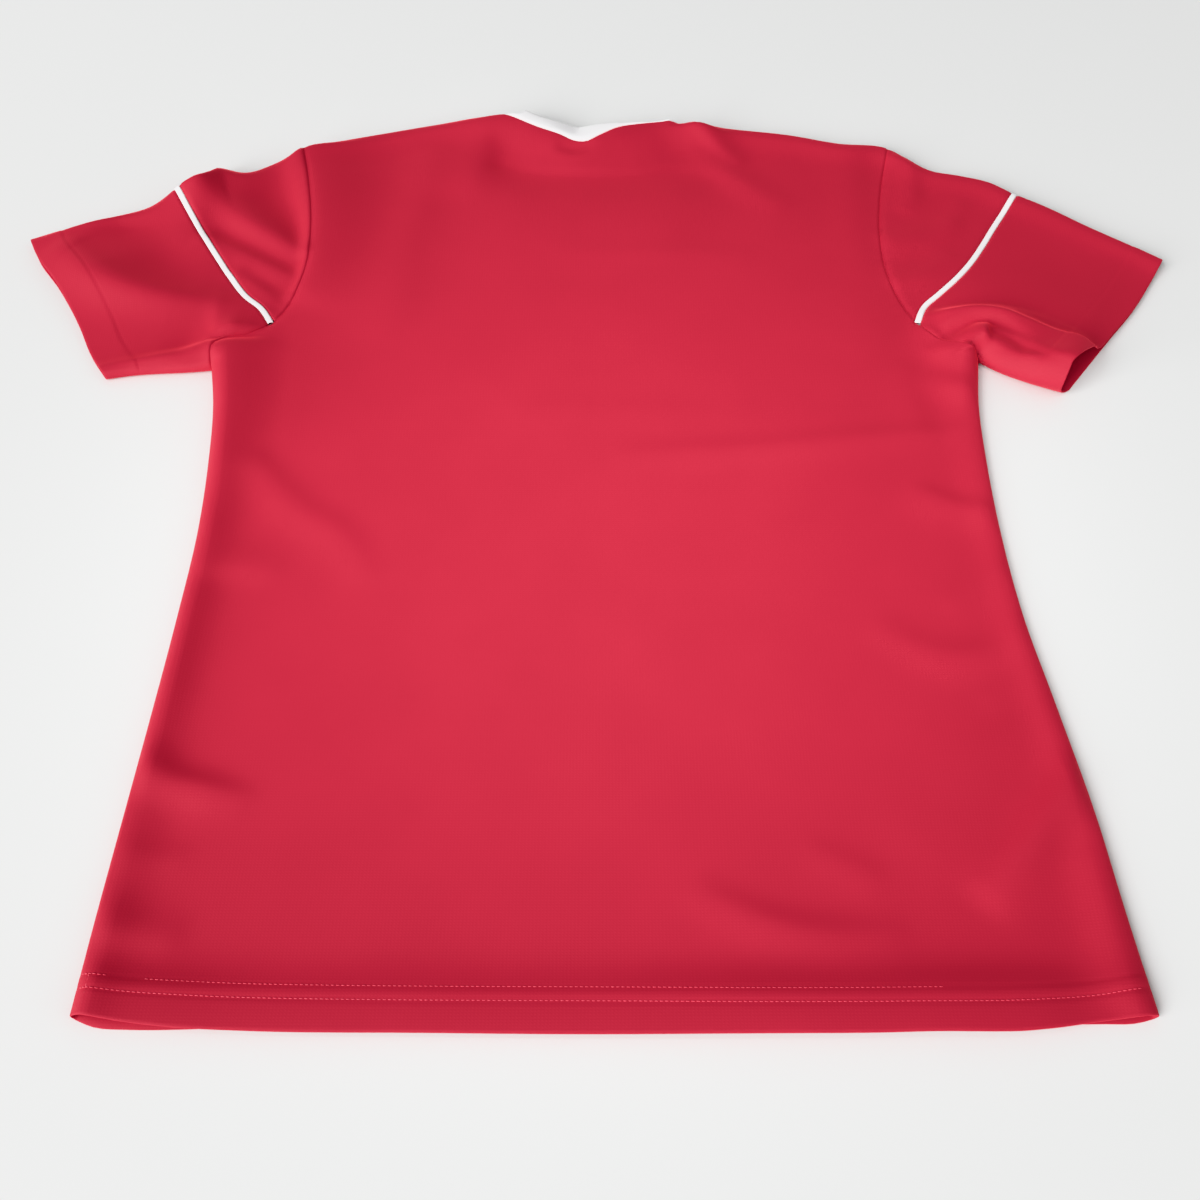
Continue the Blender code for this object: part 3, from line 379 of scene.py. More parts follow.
# Rings of a stitch. Columns: place along it, thickness, as shares of its own
STITCH_RINGS = ((-0.5, 0.45), (-0.3, 1.0), (0.3, 1.0), (0.5, 0.45))

RUN_OUT = 1.3           # a fold rises at its ends over this many of its widths
FOLD_LIFT = 1.2         # share of its height in the table that a fold is given
FADE_OUT = 2.8          # a fold is felt as far as this many of its widths
CURVE_STEPS = 12        # points of a smooth curve for each row of its table
ON_LINE = 0.03          # a point this near a fold line lies on it
CHUNK = 3000            # points that are compared with a line at a time
TINY = 1e-9


def smooth(rows):
    """A smooth curve through the rows of a table, with all their columns."""
    knots = np.array(rows, float)
    chord = np.linalg.norm(np.diff(knots[:, :2], axis=0), axis=1)
    pace = np.diff(knots, axis=0) / chord[:, None]
    tangent = np.empty_like(knots)
    tangent[0], tangent[-1] = pace[0], pace[-1]
    before, after = chord[:-1, None], chord[1:, None]
    tangent[1:-1] = (pace[:-1] * after + pace[1:] * before) / (before + after)
    t = np.arange(CURVE_STEPS)[:, None] / CURVE_STEPS
    parts = []
    for a, b, ta, tb, h in zip(knots[:-1], knots[1:], tangent[:-1], tangent[1:], chord):
        parts.append((2 * t**3 - 3 * t**2 + 1) * a + (t**3 - 2 * t**2 + t) * h * ta
                     + (3 * t**2 - 2 * t**3) * b + (t**3 - t**2) * h * tb)
    return np.vstack(parts + [knots[-1:]])


def part(curve, first, last=None):
    """The stretch of a smooth curve between two rows of its table, or from one to its end."""
    return curve[first * CURVE_STEPS:last * CURVE_STEPS + 1 if last else None]


def distances(line):
    """Distance of each point of a line from its start."""
    return np.r_[0, np.cumsum(np.linalg.norm(np.diff(line, axis=0), axis=1))]


def length(curve):
    """Length of a curve in plan."""
    return distances(curve[:, :2])[-1]


def along(curve, at):
    """Points of a curve, with all their columns, at these distances from its start."""
    run = distances(curve[:, :2])
    return np.stack([np.interp(at, run, column) for column in curve.T], axis=-1)


def unit(vectors):
    """The same vectors with length 1."""
    return vectors / (np.linalg.norm(vectors, axis=-1, keepdims=True) + TINY)


def stopped_short(line, distance):
    """The same line, ending this far before its last point."""
    run = distances(line)
    return along(line, run * (run[-1] - distance) / run[-1])


def stops(total, count, near=0.0, far=0.0):
    """Distances along a line, close together at an end that turns round a fold of that radius."""
    turn = 1 - np.cos(np.arange(CURL) * math.pi / 2 / CURL)
    head = near * turn if near else []
    tail = total - far * turn[::-1] if far else []
    return np.r_[head, np.linspace(near, total - far, count + 1), tail]


def beside(points, offset):
    """Points moved sideways, to the left of their line where offset is positive."""
    direction = unit(np.gradient(points, axis=0))
    return points + offset * np.column_stack([-direction[:, 1], direction[:, 0]])


def joined(line, start, end=None):
    """The same line with its ends moved to these points, and what is near them with them."""
    run = distances(line)
    moved = line + np.clip(1 - run / END_BLEND, 0, 1)[:, None] * (start - line[0])
    if end is not None:
        moved += np.clip(1 - (run[-1] - run) / END_BLEND, 0, 1)[:, None] * (end - line[-1])
    return moved


def ease(share):
    """From 0 to 1 with a soft start and a soft end."""
    return share * share * (3 - 2 * share)


def bell(distance, width):
    """1 in the middle of a fold or groove, fading out over its width."""
    return np.exp(-(distance / width) ** 2)


def nearest_on(xy, line):
    """Nearest point of a line: distance, segment, share along it and the way there."""
    start, run = line[:-1, :2], np.diff(line[:, :2], axis=0)
    size = (run ** 2).sum(1)
    found = []
    for first in range(0, len(xy), CHUNK):
        some = xy[first:first + CHUNK, None]
        t = np.clip(((some - start) * run).sum(2) / size, 0, 1)
        away = start + t[..., None] * run - some
        distance = np.sqrt((away ** 2).sum(2))
        pick = distance.argmin(1)
        rows = np.arange(len(some))
        found.append(np.column_stack([distance[rows, pick], pick, t[rows, pick],
                                      away[rows, pick]]))
    found = np.vstack(found)
    return found[:, 0], found[:, 1].astype(int), found[:, 2], found[:, 3:]


def columns_at(line, segment, share):
    """What a line's columns after x and y are at these shares of these segments."""
    share = share[:, None]
    return line[segment, 2:] * (1 - share) + line[segment + 1, 2:] * share


FOLD_LINES = [smooth(rows) for rows in (
    RIGHT_SIDE, RIGHT_UNDERARM, RIGHT_TOP, LEFT_TOP, LEFT_UNDERARM, LEFT_SIDE)]


def nearest_fold(xy):
    """Distance to the nearest fold line, its radius and its fade."""
    best = np.full(len(xy), np.inf)
    found = np.zeros((len(xy), 2))
    for line in FOLD_LINES:
        distance, segment, share, _ = nearest_on(xy, line)
        better = distance < best
        best[better] = distance[better]
        found[better] = columns_at(line, segment, share)[better]
    return np.maximum(best - ON_LINE, 0), found[:, 0], found[:, 1]


def fold_height(xy):
    """Height that the table of folds gives the upper layer. Each fold runs out at its ends."""
    total = np.full(len(xy), AIR)
    for route in FOLDS.values():
        line = smooth(route)
        run = distances(line[:, :2])
        run_out = RUN_OUT * line[:, 3:].mean(1)
        line[:, 2] *= FOLD_LIFT * ease(np.clip(np.minimum(run, run[-1] - run) / run_out, 0, 1))
        reach = FADE_OUT * line[:, 3:].max()
        low, high = line[:, :2].min(0) - reach, line[:, :2].max(0) + reach
        near = np.flatnonzero(((xy > low) & (xy < high)).all(1))
        if not len(near):
            continue
        distance, segment, share, away = nearest_on(xy[near], line)
        height, left, right = columns_at(line, segment, share).T
        way = line[segment + 1, :2] - line[segment, :2]
        side = (way[:, 1] * away[:, 0] - way[:, 0] * away[:, 1]) / np.hypot(way[:, 0], way[:, 1])
        blend = 0.5 + 0.5 * np.clip(side / (distance + TINY), -1, 1)
        total[near] += height * bell(distance, right + (left - right) * blend)
    return total


def free_height(xy, distance, radius, fade):
    """Height of the upper layer, apart from the turn of its folded edge."""
    folds = fold_height(xy) * ease(np.clip(distance / (radius + RISE), 0, 1))
    height = (2 * radius - LAY) * bell(np.maximum(distance - radius, 0), fade) + folds
    return LAY + (height + np.sqrt(height ** 2 + SETTLE ** 2)) / 2


def turned_up(distance, rows):
    """The doubled cloth of a hem and the troughs that its rows of stitches press into it."""
    doubled = HEM_RAISE * (0.5 - 0.5 * np.tanh((distance - rows[-1] - HEM_PAST) / STITCH_WIDTH))
    return doubled - STITCH_DEPTH * sum(bell(distance - row, STITCH_WIDTH) for row in rows)


def seam_relief(xy):
    """Turned-up hems, grooves, puckers and stitch troughs of the upper layer."""
    hem = smooth(HEM_SEAM)
    total = turned_up(xy[:, 1] - np.interp(xy[:, 0], hem[:, 0], hem[:, 1]), HEM_ROWS)
    for cuff in (LEFT_CUFF, RIGHT_CUFF):
        total += turned_up(nearest_on(xy, smooth(cuff))[0], CUFF_ROWS)
    for armhole in (LEFT_ARMHOLE, RIGHT_ARMHOLE):
        line = smooth(armhole)
        line = np.column_stack([line, distances(line)])
        distance, segment, share, away = nearest_on(xy, line)
        turn = 2 * math.pi * columns_at(line, segment, share)[:, 0] / PUCKER_STEP
        wave = np.sin(turn + PLACES_WANDER * np.sin(turn * PLACES_PACE))
        wave *= 1 - HEIGHTS_VARY + HEIGHTS_VARY * np.sin(turn * HEIGHTS_PACE + HEIGHTS_START)
        total += PUCKER * wave * bell(distance, PUCKER_REACH)
        total -= SEAM_DEPTH * bell(distance, np.where(away[:, 0] < 0, SEAM_FLANK, SEAM_WIDTH))
    total -= SEAM_DEPTH * bell(nearest_on(xy, smooth(BACK_NECKLINE))[0], SEAM_WIDTH)
    for line in (LEFT_PIPING, RIGHT_PIPING):
        beyond = np.maximum(nearest_on(xy, smooth(line))[0] - PIPING_WIDTH / 2, 0)
        total -= SEAM_DEPTH * bell(beyond, SEAM_WIDTH)
    return total


def edge_turn(distance, radius):
    """How far a folded edge has turned at a distance from its fold line: 0 on it, 1 inside."""
    return np.sqrt(1 - np.clip(1 - distance / radius, 0, 1) ** 2)


def over(plan, height):
    """Points at these heights over plan points."""
    return np.concatenate([plan, height.reshape(plan.shape[:-1] + (1,))], axis=-1)


def upper_layer(plan):
    """Outer points of the upper layer over plan points."""
    xy = plan.reshape(-1, 2)
    distance, radius, fade = nearest_fold(xy)
    turn = edge_turn(distance, radius)
    height = free_height(xy, distance, radius, fade) - radius * (1 - turn)
    height += seam_relief(xy) * turn
    return over(plan, np.where(distance == 0, radius, height))


def lower_layer(plan):
    """Outer points of the lower layer, flat on the table up to its folded edges."""
    distance, radius, _ = nearest_fold(plan.reshape(-1, 2))
    return over(plan, radius * (1 - edge_turn(distance, radius)))


def normals_of(points, ring):
    """Normals of a grid of points, whose rows close a ring or don't."""
    if ring:
        down = np.roll(points, -1, 0) - np.roll(points, 1, 0)
    else:
        down = np.gradient(points, axis=0)
    return unit(np.cross(down, np.gradient(points, axis=1)))


def grid_faces(index):
    """Quads between the points of a grid, given by their numbers."""
    return [(a, b, c, d) for row, above in zip(index[:-1], index[1:])
            for a, b, c, d in zip(row[:-1], row[1:], above[1:], above[:-1])]


def make_object(name, vertices, faces, look):
    """A closed mesh in place, riding on the part's body."""
    mesh = bpy.data.meshes.new(name)
    shifted = (np.asarray(vertices, float) - (0, HEM_TO_ORIGIN, 0)) * MM
    mesh.from_pydata(shifted.tolist(), [], faces)
    work = bmesh.new()
    work.from_mesh(mesh)
    bmesh.ops.recalc_face_normals(work, faces=work.faces)
    if work.calc_volume(signed=True) < 0:
        bmesh.ops.reverse_faces(work, faces=work.faces)
    work.to_mesh(mesh)
    work.free()
    mesh.shade_smooth()
    mesh.materials.append(look)
    piece = bpy.data.objects.new(name, mesh)
    bpy.context.scene.collection.objects.link(piece)
    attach(piece, "root")
    return piece


def edge_loops(rows, columns, ring):
    """The edges of a grid as closed loops of (row, column, row inwards, column inwards)."""
    last, end = rows - 1, columns - 1
    if ring:
        return [[(r, 0, r, 1) for r in range(rows)],
                [(r, end, r, end - 1) for r in range(rows)]]
    loop = [(0, c) for c in range(end)] + [(r, end) for r in range(last)]
    loop += [(last, c) for c in range(end, 0, -1)] + [(r, 0) for r in range(last, 0, -1)]
    return [[(r, c, min(max(r, 1), last - 1), min(max(c, 1), end - 1)) for r, c in loop]]


def shell(name, outer, look, facing=1, ring=False):
    """A closed thin shell inside a grid of outer points, with rounded edges.

    The grid's first half is on the layer that faces up (1) or down (-1)."""
    rows, columns = outer.shape[:2]
    normal = normals_of(outer, ring)
    if normal[rows // 4, :, 2].mean() * facing < 0:
        normal = -normal
    inner = outer - WALL * normal
    inner[..., 2] = np.maximum(inner[..., 2], 0)
    count = rows * columns
    numbers = np.arange(count).reshape(rows, columns)
    skin = np.vstack([numbers, numbers[:1]]) if ring else numbers
    faces = grid_faces(skin) + grid_faces(skin[::-1] + count)
    vertices = [outer.reshape(-1, 3), inner.reshape(-1, 3)]
    start = 2 * count
    for loop in edge_loops(rows, columns, ring):
        r, c, back_r, back_c = np.array(loop).T
        middle = (outer[r, c] + inner[r, c]) / 2
        way = unit(middle - (outer[back_r, back_c] + inner[back_r, back_c]) / 2)
        vertices.append(middle + way * WALL / 2)
        strip = np.stack([numbers[r, c], np.arange(len(r)) + start, numbers[r, c] + count])
        faces += grid_faces(np.hstack([strip, strip[:, :1]]))
        start += len(r)
    return make_object(name, np.vstack(vertices), faces, look)


class Side:
    """The seams and fold lines of the shirt's left half (sign -1) or right half (sign 1)."""

    def __init__(self, top, side, underarm, armhole, piping, cuff, sign):
        self.sign = sign
        self.top = smooth(top)
        self.piping_at, self.tip_at, self.neck_at = [
            length(part(self.top, 0, row)) for row in (TOP_PIPING, TOP_TIP, TOP_NECK)]
        self.side = smooth(side)
        self.underarm = smooth(underarm)
        self.piping = smooth(piping)
        self.cuff = smooth(cuff)
        self.armhole_high = part(smooth(armhole), 0, ARMHOLE_PIPING)
        self.armhole_low = part(smooth(armhole), ARMHOLE_PIPING)

    def radius(self, at):
        """Radius of the top fold line at a distance from the cuff."""
        return float(along(self.top, at)[2])

    def armhole(self, offset):
        """Points of the armhole seam from tip to underarm, moved by offset towards the cuff."""
        high, low = self.armhole_high, self.armhole_low
        first = along(high, stops(length(high), ARMHOLE_HIGH, near=self.radius(self.tip_at)))
        second = along(low, stops(length(low), ARMHOLE_LOW, far=self.side[-1, 2]))
        seam = beside(np.vstack([first, second[1:]]), offset * self.sign)
        start = along(self.top, self.tip_at - offset)[:2]
        if offset > 0:
            end = along(self.underarm, offset)[:2]
        else:
            end = along(self.side, length(self.side) + offset)[:2]
        return joined(seam, start, end)

    def piping_line(self, offset):
        """Points of the piping from top edge to armhole, moved by offset towards the cuff."""
        at = stops(length(self.piping), ARMHOLE_HIGH, near=self.radius(self.piping_at))
        line = beside(along(self.piping, at), offset * self.sign)
        return joined(line, along(self.top, self.piping_at - offset)[:2])

    def top_edge(self, start, end, steps):
        """Evenly spaced points of the top fold line between two distances from the cuff."""
        return along(self.top, np.linspace(start, end, steps + 1))[:, :2]

    def body_edge(self):
        """Edge of a body panel from hem to shoulder tip, and the radius that its cloth turns."""
        seam = self.armhole(-GAP / 2)[::-1]
        at = np.r_[np.linspace(0, HEM_BAND, HEM_BAND_ROWS, endpoint=False),
                   np.linspace(HEM_BAND, length(self.side) - GAP / 2, SIDE_ROWS - HEM_BAND_ROWS)]
        low = along(self.side, at)
        edge = np.vstack([low[:, :2], seam[1:]])
        return edge, np.r_[low[:, 2], np.full(len(seam) - 1, low[-1, 2])]


def body_plan(halves, hem, neckline):
    """Plan points of a body panel, from hem to neck and from left to right."""
    hem, neckline = smooth(hem), smooth(neckline)
    (left, left_radius), (right, right_radius) = [half.body_edge() for half in halves]
    span = np.linalg.norm(right - left, axis=1)
    middle = 2 * SHOULDER_COLUMNS + NECK_COLUMNS
    share = np.array([stops(w, middle, near=a, far=b) / w
                      for w, a, b in zip(span, left_radius, right_radius)])

    tops = []
    for half in halves:
        start, end = half.tip_at + GAP / 2, half.neck_at - GAP
        at = start + stops(end - start, SHOULDER_COLUMNS, near=half.side[-1, 2])
        tops.append(along(half.top, at)[:, :2])
    neck = beside(along(neckline, np.linspace(0, length(neckline), NECK_COLUMNS + 1)), -GAP / 2)
    top = np.vstack([tops[0], neck[1:-1], tops[1][::-1]])
    bottom = along(hem, share[0] * length(hem))
    bottom[0], bottom[-1] = left[0], right[0]

    plan = left[:, None] * (1 - share[..., None]) + right[:, None] * share[..., None]
    rise = distances(left)
    past_underarm = rise - rise[SIDE_ROWS - 1]
    near_top = ease(np.clip(past_underarm / (past_underarm[-1] - NECK_BLEND), 0, 1))
    near_hem = np.clip(1 - rise / HEM_BLEND, 0, 1) ** 2
    plan += near_top[:, None, None] * (top - plan[-1])
    plan += near_hem[:, None, None] * (bottom - plan[0])
    return plan


def body_panel(name, halves, hem, neckline, skip, upper, look):
    """The back or the front: a sheet in its layer, parted from the other at sides and shoulders."""
    plan = body_plan(halves, hem, neckline)
    keep = np.r_[np.arange(0, SIDE_ROWS - 1, skip), np.arange(SIDE_ROWS - 1, len(plan))]
    plan = plan[keep]
    outer = upper_layer(plan) if upper else lower_layer(plan)
    towards = 1 if upper else -1
    sides = slice((keep < SIDE_ROWS).sum())
    shoulder = CURL + SHOULDER_COLUMNS + 1
    for edge in ((sides, 0), (sides, -1), (-1, slice(shoulder)), (-1, slice(-shoulder, None))):
        outer[edge][..., 2] += towards * GAP / 2
    return shell(name, outer, look, facing=towards)


def patch(first, last, top, bottom, share_across, share_down):
    """Plan points between four edges: first to last across, top to bottom down."""
    across = share_across[None, :, None]
    down = share_down[:, None, None]
    plan = first[:, None] * (1 - across) + last[:, None] * across
    return plan + (1 - down) * (top - plan[0]) + down * (bottom - plan[-1])


def drawn_back(plan, table, reach):
    """Draws the lifted end of a cuff back towards the shoulder."""
    cuff = plan[:, -1]
    from_edge = np.linalg.norm(cuff - cuff[-1], axis=1)
    inset = np.interp(from_edge, *np.array(table, float).T, right=0)
    inward = unit(plan[:, -2] - cuff)
    return plan + (inset[:, None] * inward)[:, None] * (reach ** CUFF_BLEND)[None, :, None]


def sleeve_lower(name, half, look, lifted):
    """The sleeve from piping to cuff: a tube, open at both ends."""
    side = PIPING_WIDTH / 2 + GAP
    low = half.armhole(GAP / 2)[-(ARMHOLE_LOW + CURL):]
    inner_edge = np.vstack([half.piping_line(side), low])
    reach = np.linspace(0, 1, SLEEVE_COLUMNS + 1)
    top_line = half.top_edge(half.piping_at - side, 0, SLEEVE_COLUMNS)
    under = length(half.underarm)
    bottom_line = along(half.underarm, GAP / 2 + reach * (under - GAP / 2))[:, :2]
    steps = len(inner_edge) - 1 - 2 * CURL
    ends = stops(length(half.cuff), steps, near=half.radius(0), far=half.underarm[-1, 2])
    cuff = along(half.cuff, ends)
    plan = patch(inner_edge, cuff, top_line, bottom_line, reach, ends / ends[-1])
    above, below = [drawn_back(plan, table, reach) if lifted else plan
                    for table in (CUFF_DRAWN_BACK, CUFF_DRAWN_BELOW)]
    outer = np.vstack([upper_layer(above), lower_layer(below)[-2:0:-1]])
    return shell(name, outer, look, ring=True)


def sleeve_cap(name, half, look):
    """The sleeve between armhole seam and piping, a crescent over the sleeve's top edge."""
    side = PIPING_WIDTH / 2 + GAP
    last = stopped_short(half.piping_line(-side), CAP_STOP)
    first = stopped_short(half.armhole(GAP / 2)[:len(last)], CAP_STOP)
    reach = np.linspace(0, 1, CAP_COLUMNS + 1)
    top_line = half.top_edge(half.tip_at - GAP / 2, half.piping_at + side, CAP_COLUMNS)
    bottom_line = first[-1] * (1 - reach[:, None]) + last[-1] * reach[:, None]
    down = distances(first)
    plan = patch(first, last, top_line, bottom_line, reach, down / down[-1])
    outer = np.vstack([upper_layer(plan)[::-1], lower_layer(plan)[1:]])
    return shell(name, outer, look)


def neckband(name, halves, look):
    """The neckband: a ring from the back neckline round under it along the front neckline."""
    reach = np.linspace(0, 1, BAND_COLUMNS + 1)
    share = np.linspace(0, 1, NECK_COLUMNS + 1)
    ends = [half.top_edge(half.neck_at + GAP, length(half.top), BAND_COLUMNS) for half in halves]
    layers = []
    for layer, seam, edge in ((upper_layer, BACK_NECKLINE, BACK_BAND_EDGE),
                              (lower_layer, FRONT_NECKLINE, FRONT_BAND_EDGE)):
        seam, edge = smooth(seam), smooth(edge)
        first = beside(along(seam, share * length(seam)), GAP / 2)
        last = along(edge, share * length(edge))
        for line, at in ((first, 0), (last, -1)):
            line[0], line[-1] = ends[0][at], ends[1][at]
        layers.append(layer(patch(first, last, *ends, reach, share)))
    outer = np.vstack([layers[0], layers[1][-2:0:-1]])
    return shell(name, outer, look, ring=True)


def piping(name, half, look):
    """The piping: a folded strip of cloth with a rounded top, flush where the shirt lies on it."""
    across = np.linspace(-1, 1, PIPING_COLUMNS + 1)
    rounded = np.sqrt(np.clip(1 - across ** PIPING_ROUND, 0, 1))
    plan = np.stack([stopped_short(half.piping_line(side * PIPING_WIDTH / 2), PIPING_STOP)
                     for side in across], 1)
    top = upper_layer(plan)
    proud = np.full(len(top), PIPING_PROUD)
    proud[:CURL] *= np.linspace(PIPING_START, 1, CURL, endpoint=False)
    normal = normals_of(top, False)
    normal *= np.sign(normal[..., 2:].mean())
    top += normal * (rounded * proud[:, None])[..., None]
    return shell(name, np.vstack([top[::-1], lower_layer(plan)[1:]]), look)


def new_material(name):
    """A new material, its node tree and its shader."""
    made = bpy.data.materials.new(name)
    made.use_nodes = True
    return made, made.node_tree, made.node_tree.nodes["Principled BSDF"]


def fill(node, **inputs):
    """Sets the values of a node's inputs, with _ for a space in their names."""
    for key, value in inputs.items():
        node.inputs[key.replace("_", " ")].default_value = value
    return node


def add_texture(tree, kind, **inputs):
    """A texture in the piece's own coordinates, with these inputs."""
    texture = fill(tree.nodes.new(kind), **inputs)
    place = tree.nodes.new("ShaderNodeTexCoord")
    tree.links.new(place.outputs["Object"], texture.inputs["Vector"])
    return texture


def add_math(tree, operation, *inputs):
    """A sum or product of numbers and of other nodes' outputs."""
    node = tree.nodes.new("ShaderNodeMath")
    node.operation = operation
    for socket, value in zip(node.inputs, inputs):
        if isinstance(value, float):
            socket.default_value = value
        else:
            tree.links.new(value, socket)
    return node.outputs["Value"]


def add_bump(tree, shader, height, strength, distance):
    """Roughens a shader's surface by a pattern."""
    bump = fill(tree.nodes.new("ShaderNodeBump"), Strength=strength, Distance=distance)
    tree.links.new(height, bump.inputs["Height"])
    tree.links.new(bump.outputs["Normal"], shader.inputs["Normal"])


def add_colours(tree, shader, tone, low, high, span=(0, 1)):
    """Colours a shader from low to high where a pattern's tone goes over its span."""
    ramp = tree.nodes.new("ShaderNodeValToRGB")
    for stop, colour, position in zip(ramp.color_ramp.elements, (low, high), span):
        stop.position = position
        stop.color = (*colour, 1)
    tree.links.new(tone, ramp.inputs["Fac"])
    tree.links.new(ramp.outputs["Color"], shader.inputs["Base Color"])


def knit_cloth(name, colour, hollow, roughness, sheen, tint):
    """Fine knitted jersey: wales and courses, a little uneven in tone and nap, with painted shade in
    the hollows between the loops.
    """
    made, tree, shader = new_material(name)
    fill(shader, Roughness=roughness, Sheen_Weight=sheen, Sheen_Tint=(*tint, 1),
         Sheen_Roughness=SHEEN_ROUGHNESS, Specular_IOR_Level=SPECULAR)
    rows = []
    for direction, scale, detail in KNIT_ROWS:
        wave = add_texture(tree, "ShaderNodeTexWave", Scale=scale, Detail=detail,
                           Distortion=KNIT_WAVER)
        wave.bands_direction = direction
        rows.append(wave.outputs["Fac"])
    nap = add_texture(tree, "ShaderNodeTexNoise", Scale=NAP_SCALE, Detail=NAP_DETAIL)
    cloud = add_texture(tree, "ShaderNodeTexNoise", Scale=CLOUD_SCALE, Detail=CLOUD_DETAIL)
    loops = add_math(tree, "MULTIPLY", *rows)
    surface = add_math(tree, "MULTIPLY_ADD", nap.outputs["Fac"], NAP_SHARE, loops)
    add_bump(tree, shader, surface, KNIT_STRENGTH, KNIT_HEIGHT)
    # The colour darkens where the dye is uneven and, as painted shade, in the hollows between the
    # loops.
    tone = add_math(tree, "MULTIPLY_ADD", loops, LOOP_SHADE_SHARE, cloud.outputs["Fac"])
    add_colours(tree, shader, tone, hollow, colour, TONE_RANGE)
    return made


def sewing_thread(name, colour):
    """Twisted sewing thread, slightly glossy."""
    made, tree, shader = new_material(name)
    fill(shader, Roughness=THREAD_ROUGHNESS)
    twist = add_texture(tree, "ShaderNodeTexNoise", Scale=THREAD_SCALE).outputs["Fac"]
    add_colours(tree, shader, twist, [THREAD_SHADE * c for c in colour], colour)
    add_bump(tree, shader, twist, THREAD_STRENGTH, THREAD_HEIGHT)
    return made


def stitches(name, line, look):
    """Sewn stitches along a line of surface points, as small tapered bars in one mesh."""
    run = distances(line)
    turns = np.arange(STITCH_SIDES) * 2 * math.pi / STITCH_SIDES
    vertices, faces = [], []
    for number in range(int(run[-1] / STITCH_STEP)):
        place = (number + 0.5) * STITCH_STEP
        start, end = [np.array([np.interp(place + share * STITCH_LENGTH, run, column)
                                for column in line.T]) for share in (-0.5, 0.5)]
        middle = (start + end) / 2 + (0, 0, STITCH_LIFT)
        way = unit(end - start)
        across = unit(np.cross((0, 0, 1), way))
        up = np.cross(way, across)
        first = len(vertices)
        for at, size in STITCH_RINGS:
            centre = middle + way * at * STITCH_LENGTH - up * abs(at) * STITCH_THICK
            vertices += [centre + (across * math.cos(turn) * STITCH_FLAT + up * math.sin(turn))
                         * size * STITCH_THICK for turn in turns]
        rings = np.arange(first, len(vertices)).reshape(-1, STITCH_SIDES)
        faces += grid_faces(np.hstack([rings, rings[:, :1]]))
        faces += [tuple(rings[0]), tuple(rings[-1])]
    return make_object(name, vertices, faces, look)


def add_light(kind, name, power, place, aim):
    """A light at a place, turned to a point."""
    data = bpy.data.lights.new(name, kind)
    data.energy = power
    light = bpy.data.objects.new(name, data)
    light.location = place
    light.rotation_euler = (Vector(aim) - Vector(place)).to_track_quat("-Z", "Y").to_euler()
    bpy.context.scene.collection.objects.link(light)
    return data


def add_window(name, side, power, place, aim):
    """A square area light."""
    data = add_light("AREA", name, power, place, aim)
    data.shape = "SQUARE"
    data.size = side


def add_lamp(name, radius, power, place, aim, cone, blend):
    """A spot light that fades from the middle of its cone to the rim."""
    data = add_light("SPOT", name, power, place, aim)
    data.shadow_soft_size = radius
    data.spot_size = math.radians(cone)
    data.spot_blend = blend


def add_floor():
    """The table top, a square under the shirt."""
    mesh = bpy.data.meshes.new("table_top")
    corners = [(x * FLOOR_SIDE / 2, y * FLOOR_SIDE / 2, FLOOR_TOP)
               for x, y in ((-1, -1), (1, -1), (1, 1), (-1, 1))]
    mesh.from_pydata(corners, [], [(0, 1, 2, 3)])
    made, _, shader = new_material("pale_table")
    fill(shader, Base_Color=(*FLOOR_COLOUR, 1), Roughness=FLOOR_ROUGHNESS)
    mesh.materials.append(made)
    floor = bpy.data.objects.new("table_top", mesh)
    bpy.context.scene.collection.objects.link(floor)


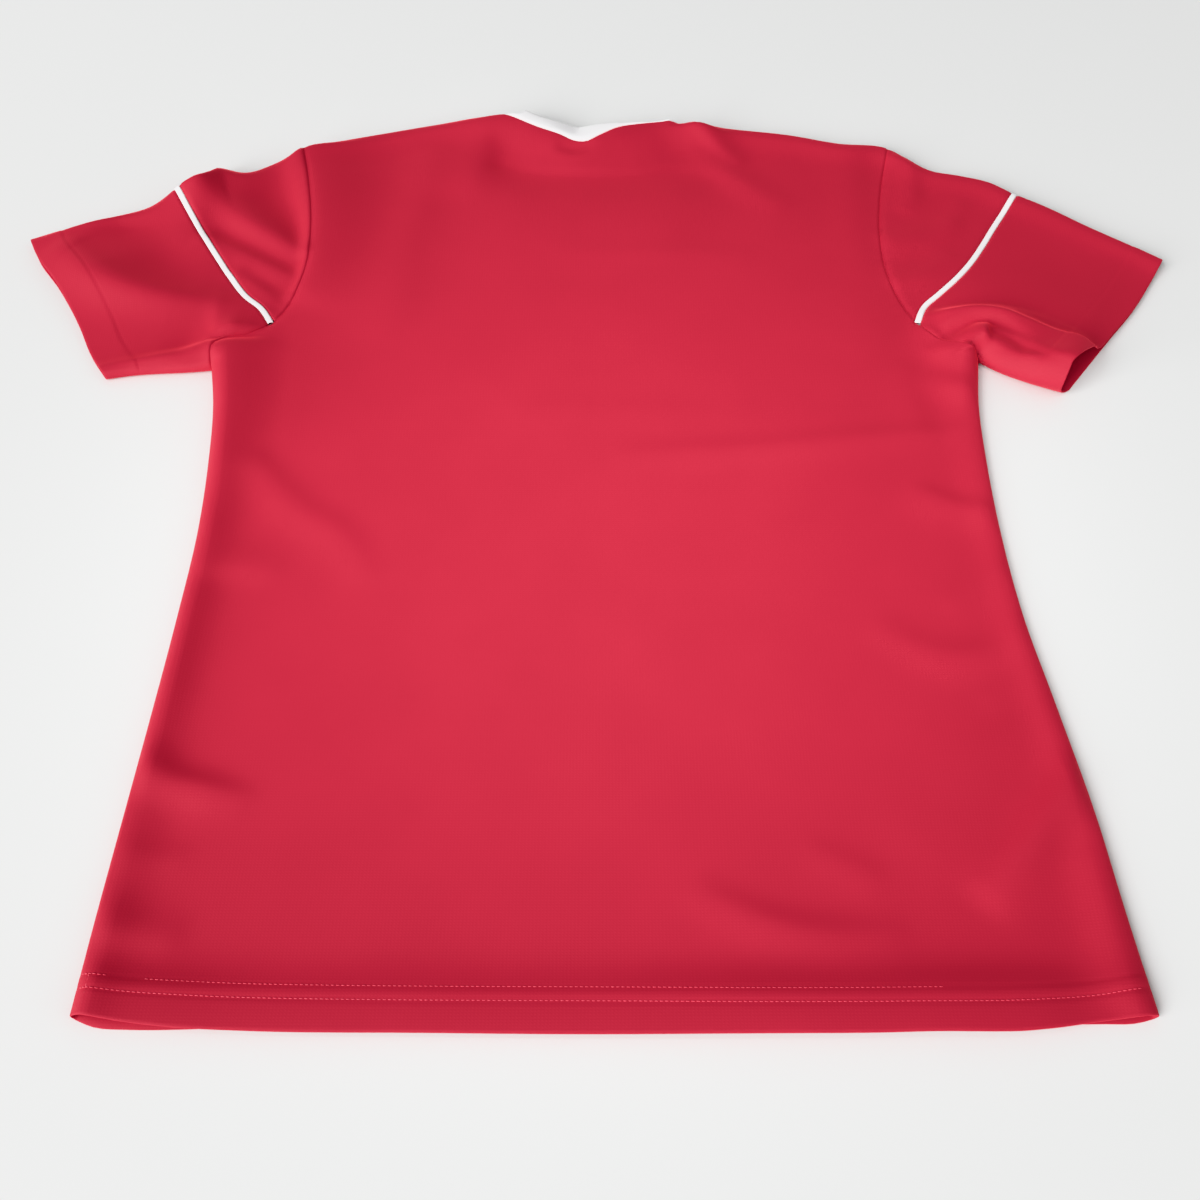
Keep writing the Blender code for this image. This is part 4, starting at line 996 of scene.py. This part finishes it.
def add_camera():
    """The camera at the photograph's viewing angle."""
    data = bpy.data.cameras.new("camera")
    data.sensor_width = SENSOR
    data.lens = SENSOR * FOCAL_PIXELS / FRAME_PIXELS
    camera = bpy.data.objects.new("camera", data)
    camera.location = (0, -CAMERA_BACK, CAMERA_HEIGHT)
    camera.rotation_euler = (math.radians(90 - CAMERA_TILT), 0, 0)
    bpy.context.scene.collection.objects.link(camera)
    bpy.context.scene.camera = camera


def add_world():
    """Even light from all round."""
    world = bpy.data.worlds.new("room")
    world.use_nodes = True
    fill(world.node_tree.nodes["Background"], Color=(*WORLD_COLOUR, 1), Strength=WORLD_STRENGTH)
    bpy.context.scene.world = world


def dress():
    """Builds every piece of the shirt and hides the imported part that each one stands in for."""
    red, white = knit_cloth(*RED_KNIT), knit_cloth(*WHITE_KNIT)
    red_thread = sewing_thread("red_thread", THREAD_RED)
    left = Side(LEFT_TOP, LEFT_SIDE, LEFT_UNDERARM, LEFT_ARMHOLE, LEFT_PIPING, LEFT_CUFF, -1)
    right = Side(RIGHT_TOP, RIGHT_SIDE, RIGHT_UNDERARM, RIGHT_ARMHOLE, RIGHT_PIPING,
                 RIGHT_CUFF, 1)
    halves = (left, right)
    made = {
        "back": body_panel("back_cloth", halves, BACK_HEM, BACK_NECKLINE, 1, True, red),
        "front": body_panel("front_cloth", halves, FRONT_HEM, FRONT_NECKLINE, FRONT_SKIP,
                            False, red),
        "neckband": neckband("neckband_cloth", halves, white),
    }
    for half, word in ((left, "left"), (right, "right")):
        made["sleeve_cap_" + word] = sleeve_cap("cap_cloth_" + word, half, red)
        made["piping_" + word] = piping("piping_cloth_" + word, half, white)
        made["sleeve_lower_" + word] = sleeve_lower("lower_cloth_" + word, half, red,
                                                    lifted=word == "right")
    for node, piece in made.items():
        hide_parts(node)

    seam = smooth(HEM_SEAM)
    for name, row, start, end in HEM_STITCHES:
        x = np.arange(start, end)
        plan = np.column_stack([x, np.interp(x, seam[:, 0], seam[:, 1]) + row])
        stitches(name, upper_layer(plan), red_thread)
    tack = upper_layer(np.array(TACK))
    stitches("hem_tack", tack, red_thread)


dress()
add_floor()
add_camera()
add_world()
for window in WINDOWS:
    add_window(*window)
add_lamp(*LAMP)
bpy.context.scene.view_settings.view_transform = "Khronos PBR Neutral"
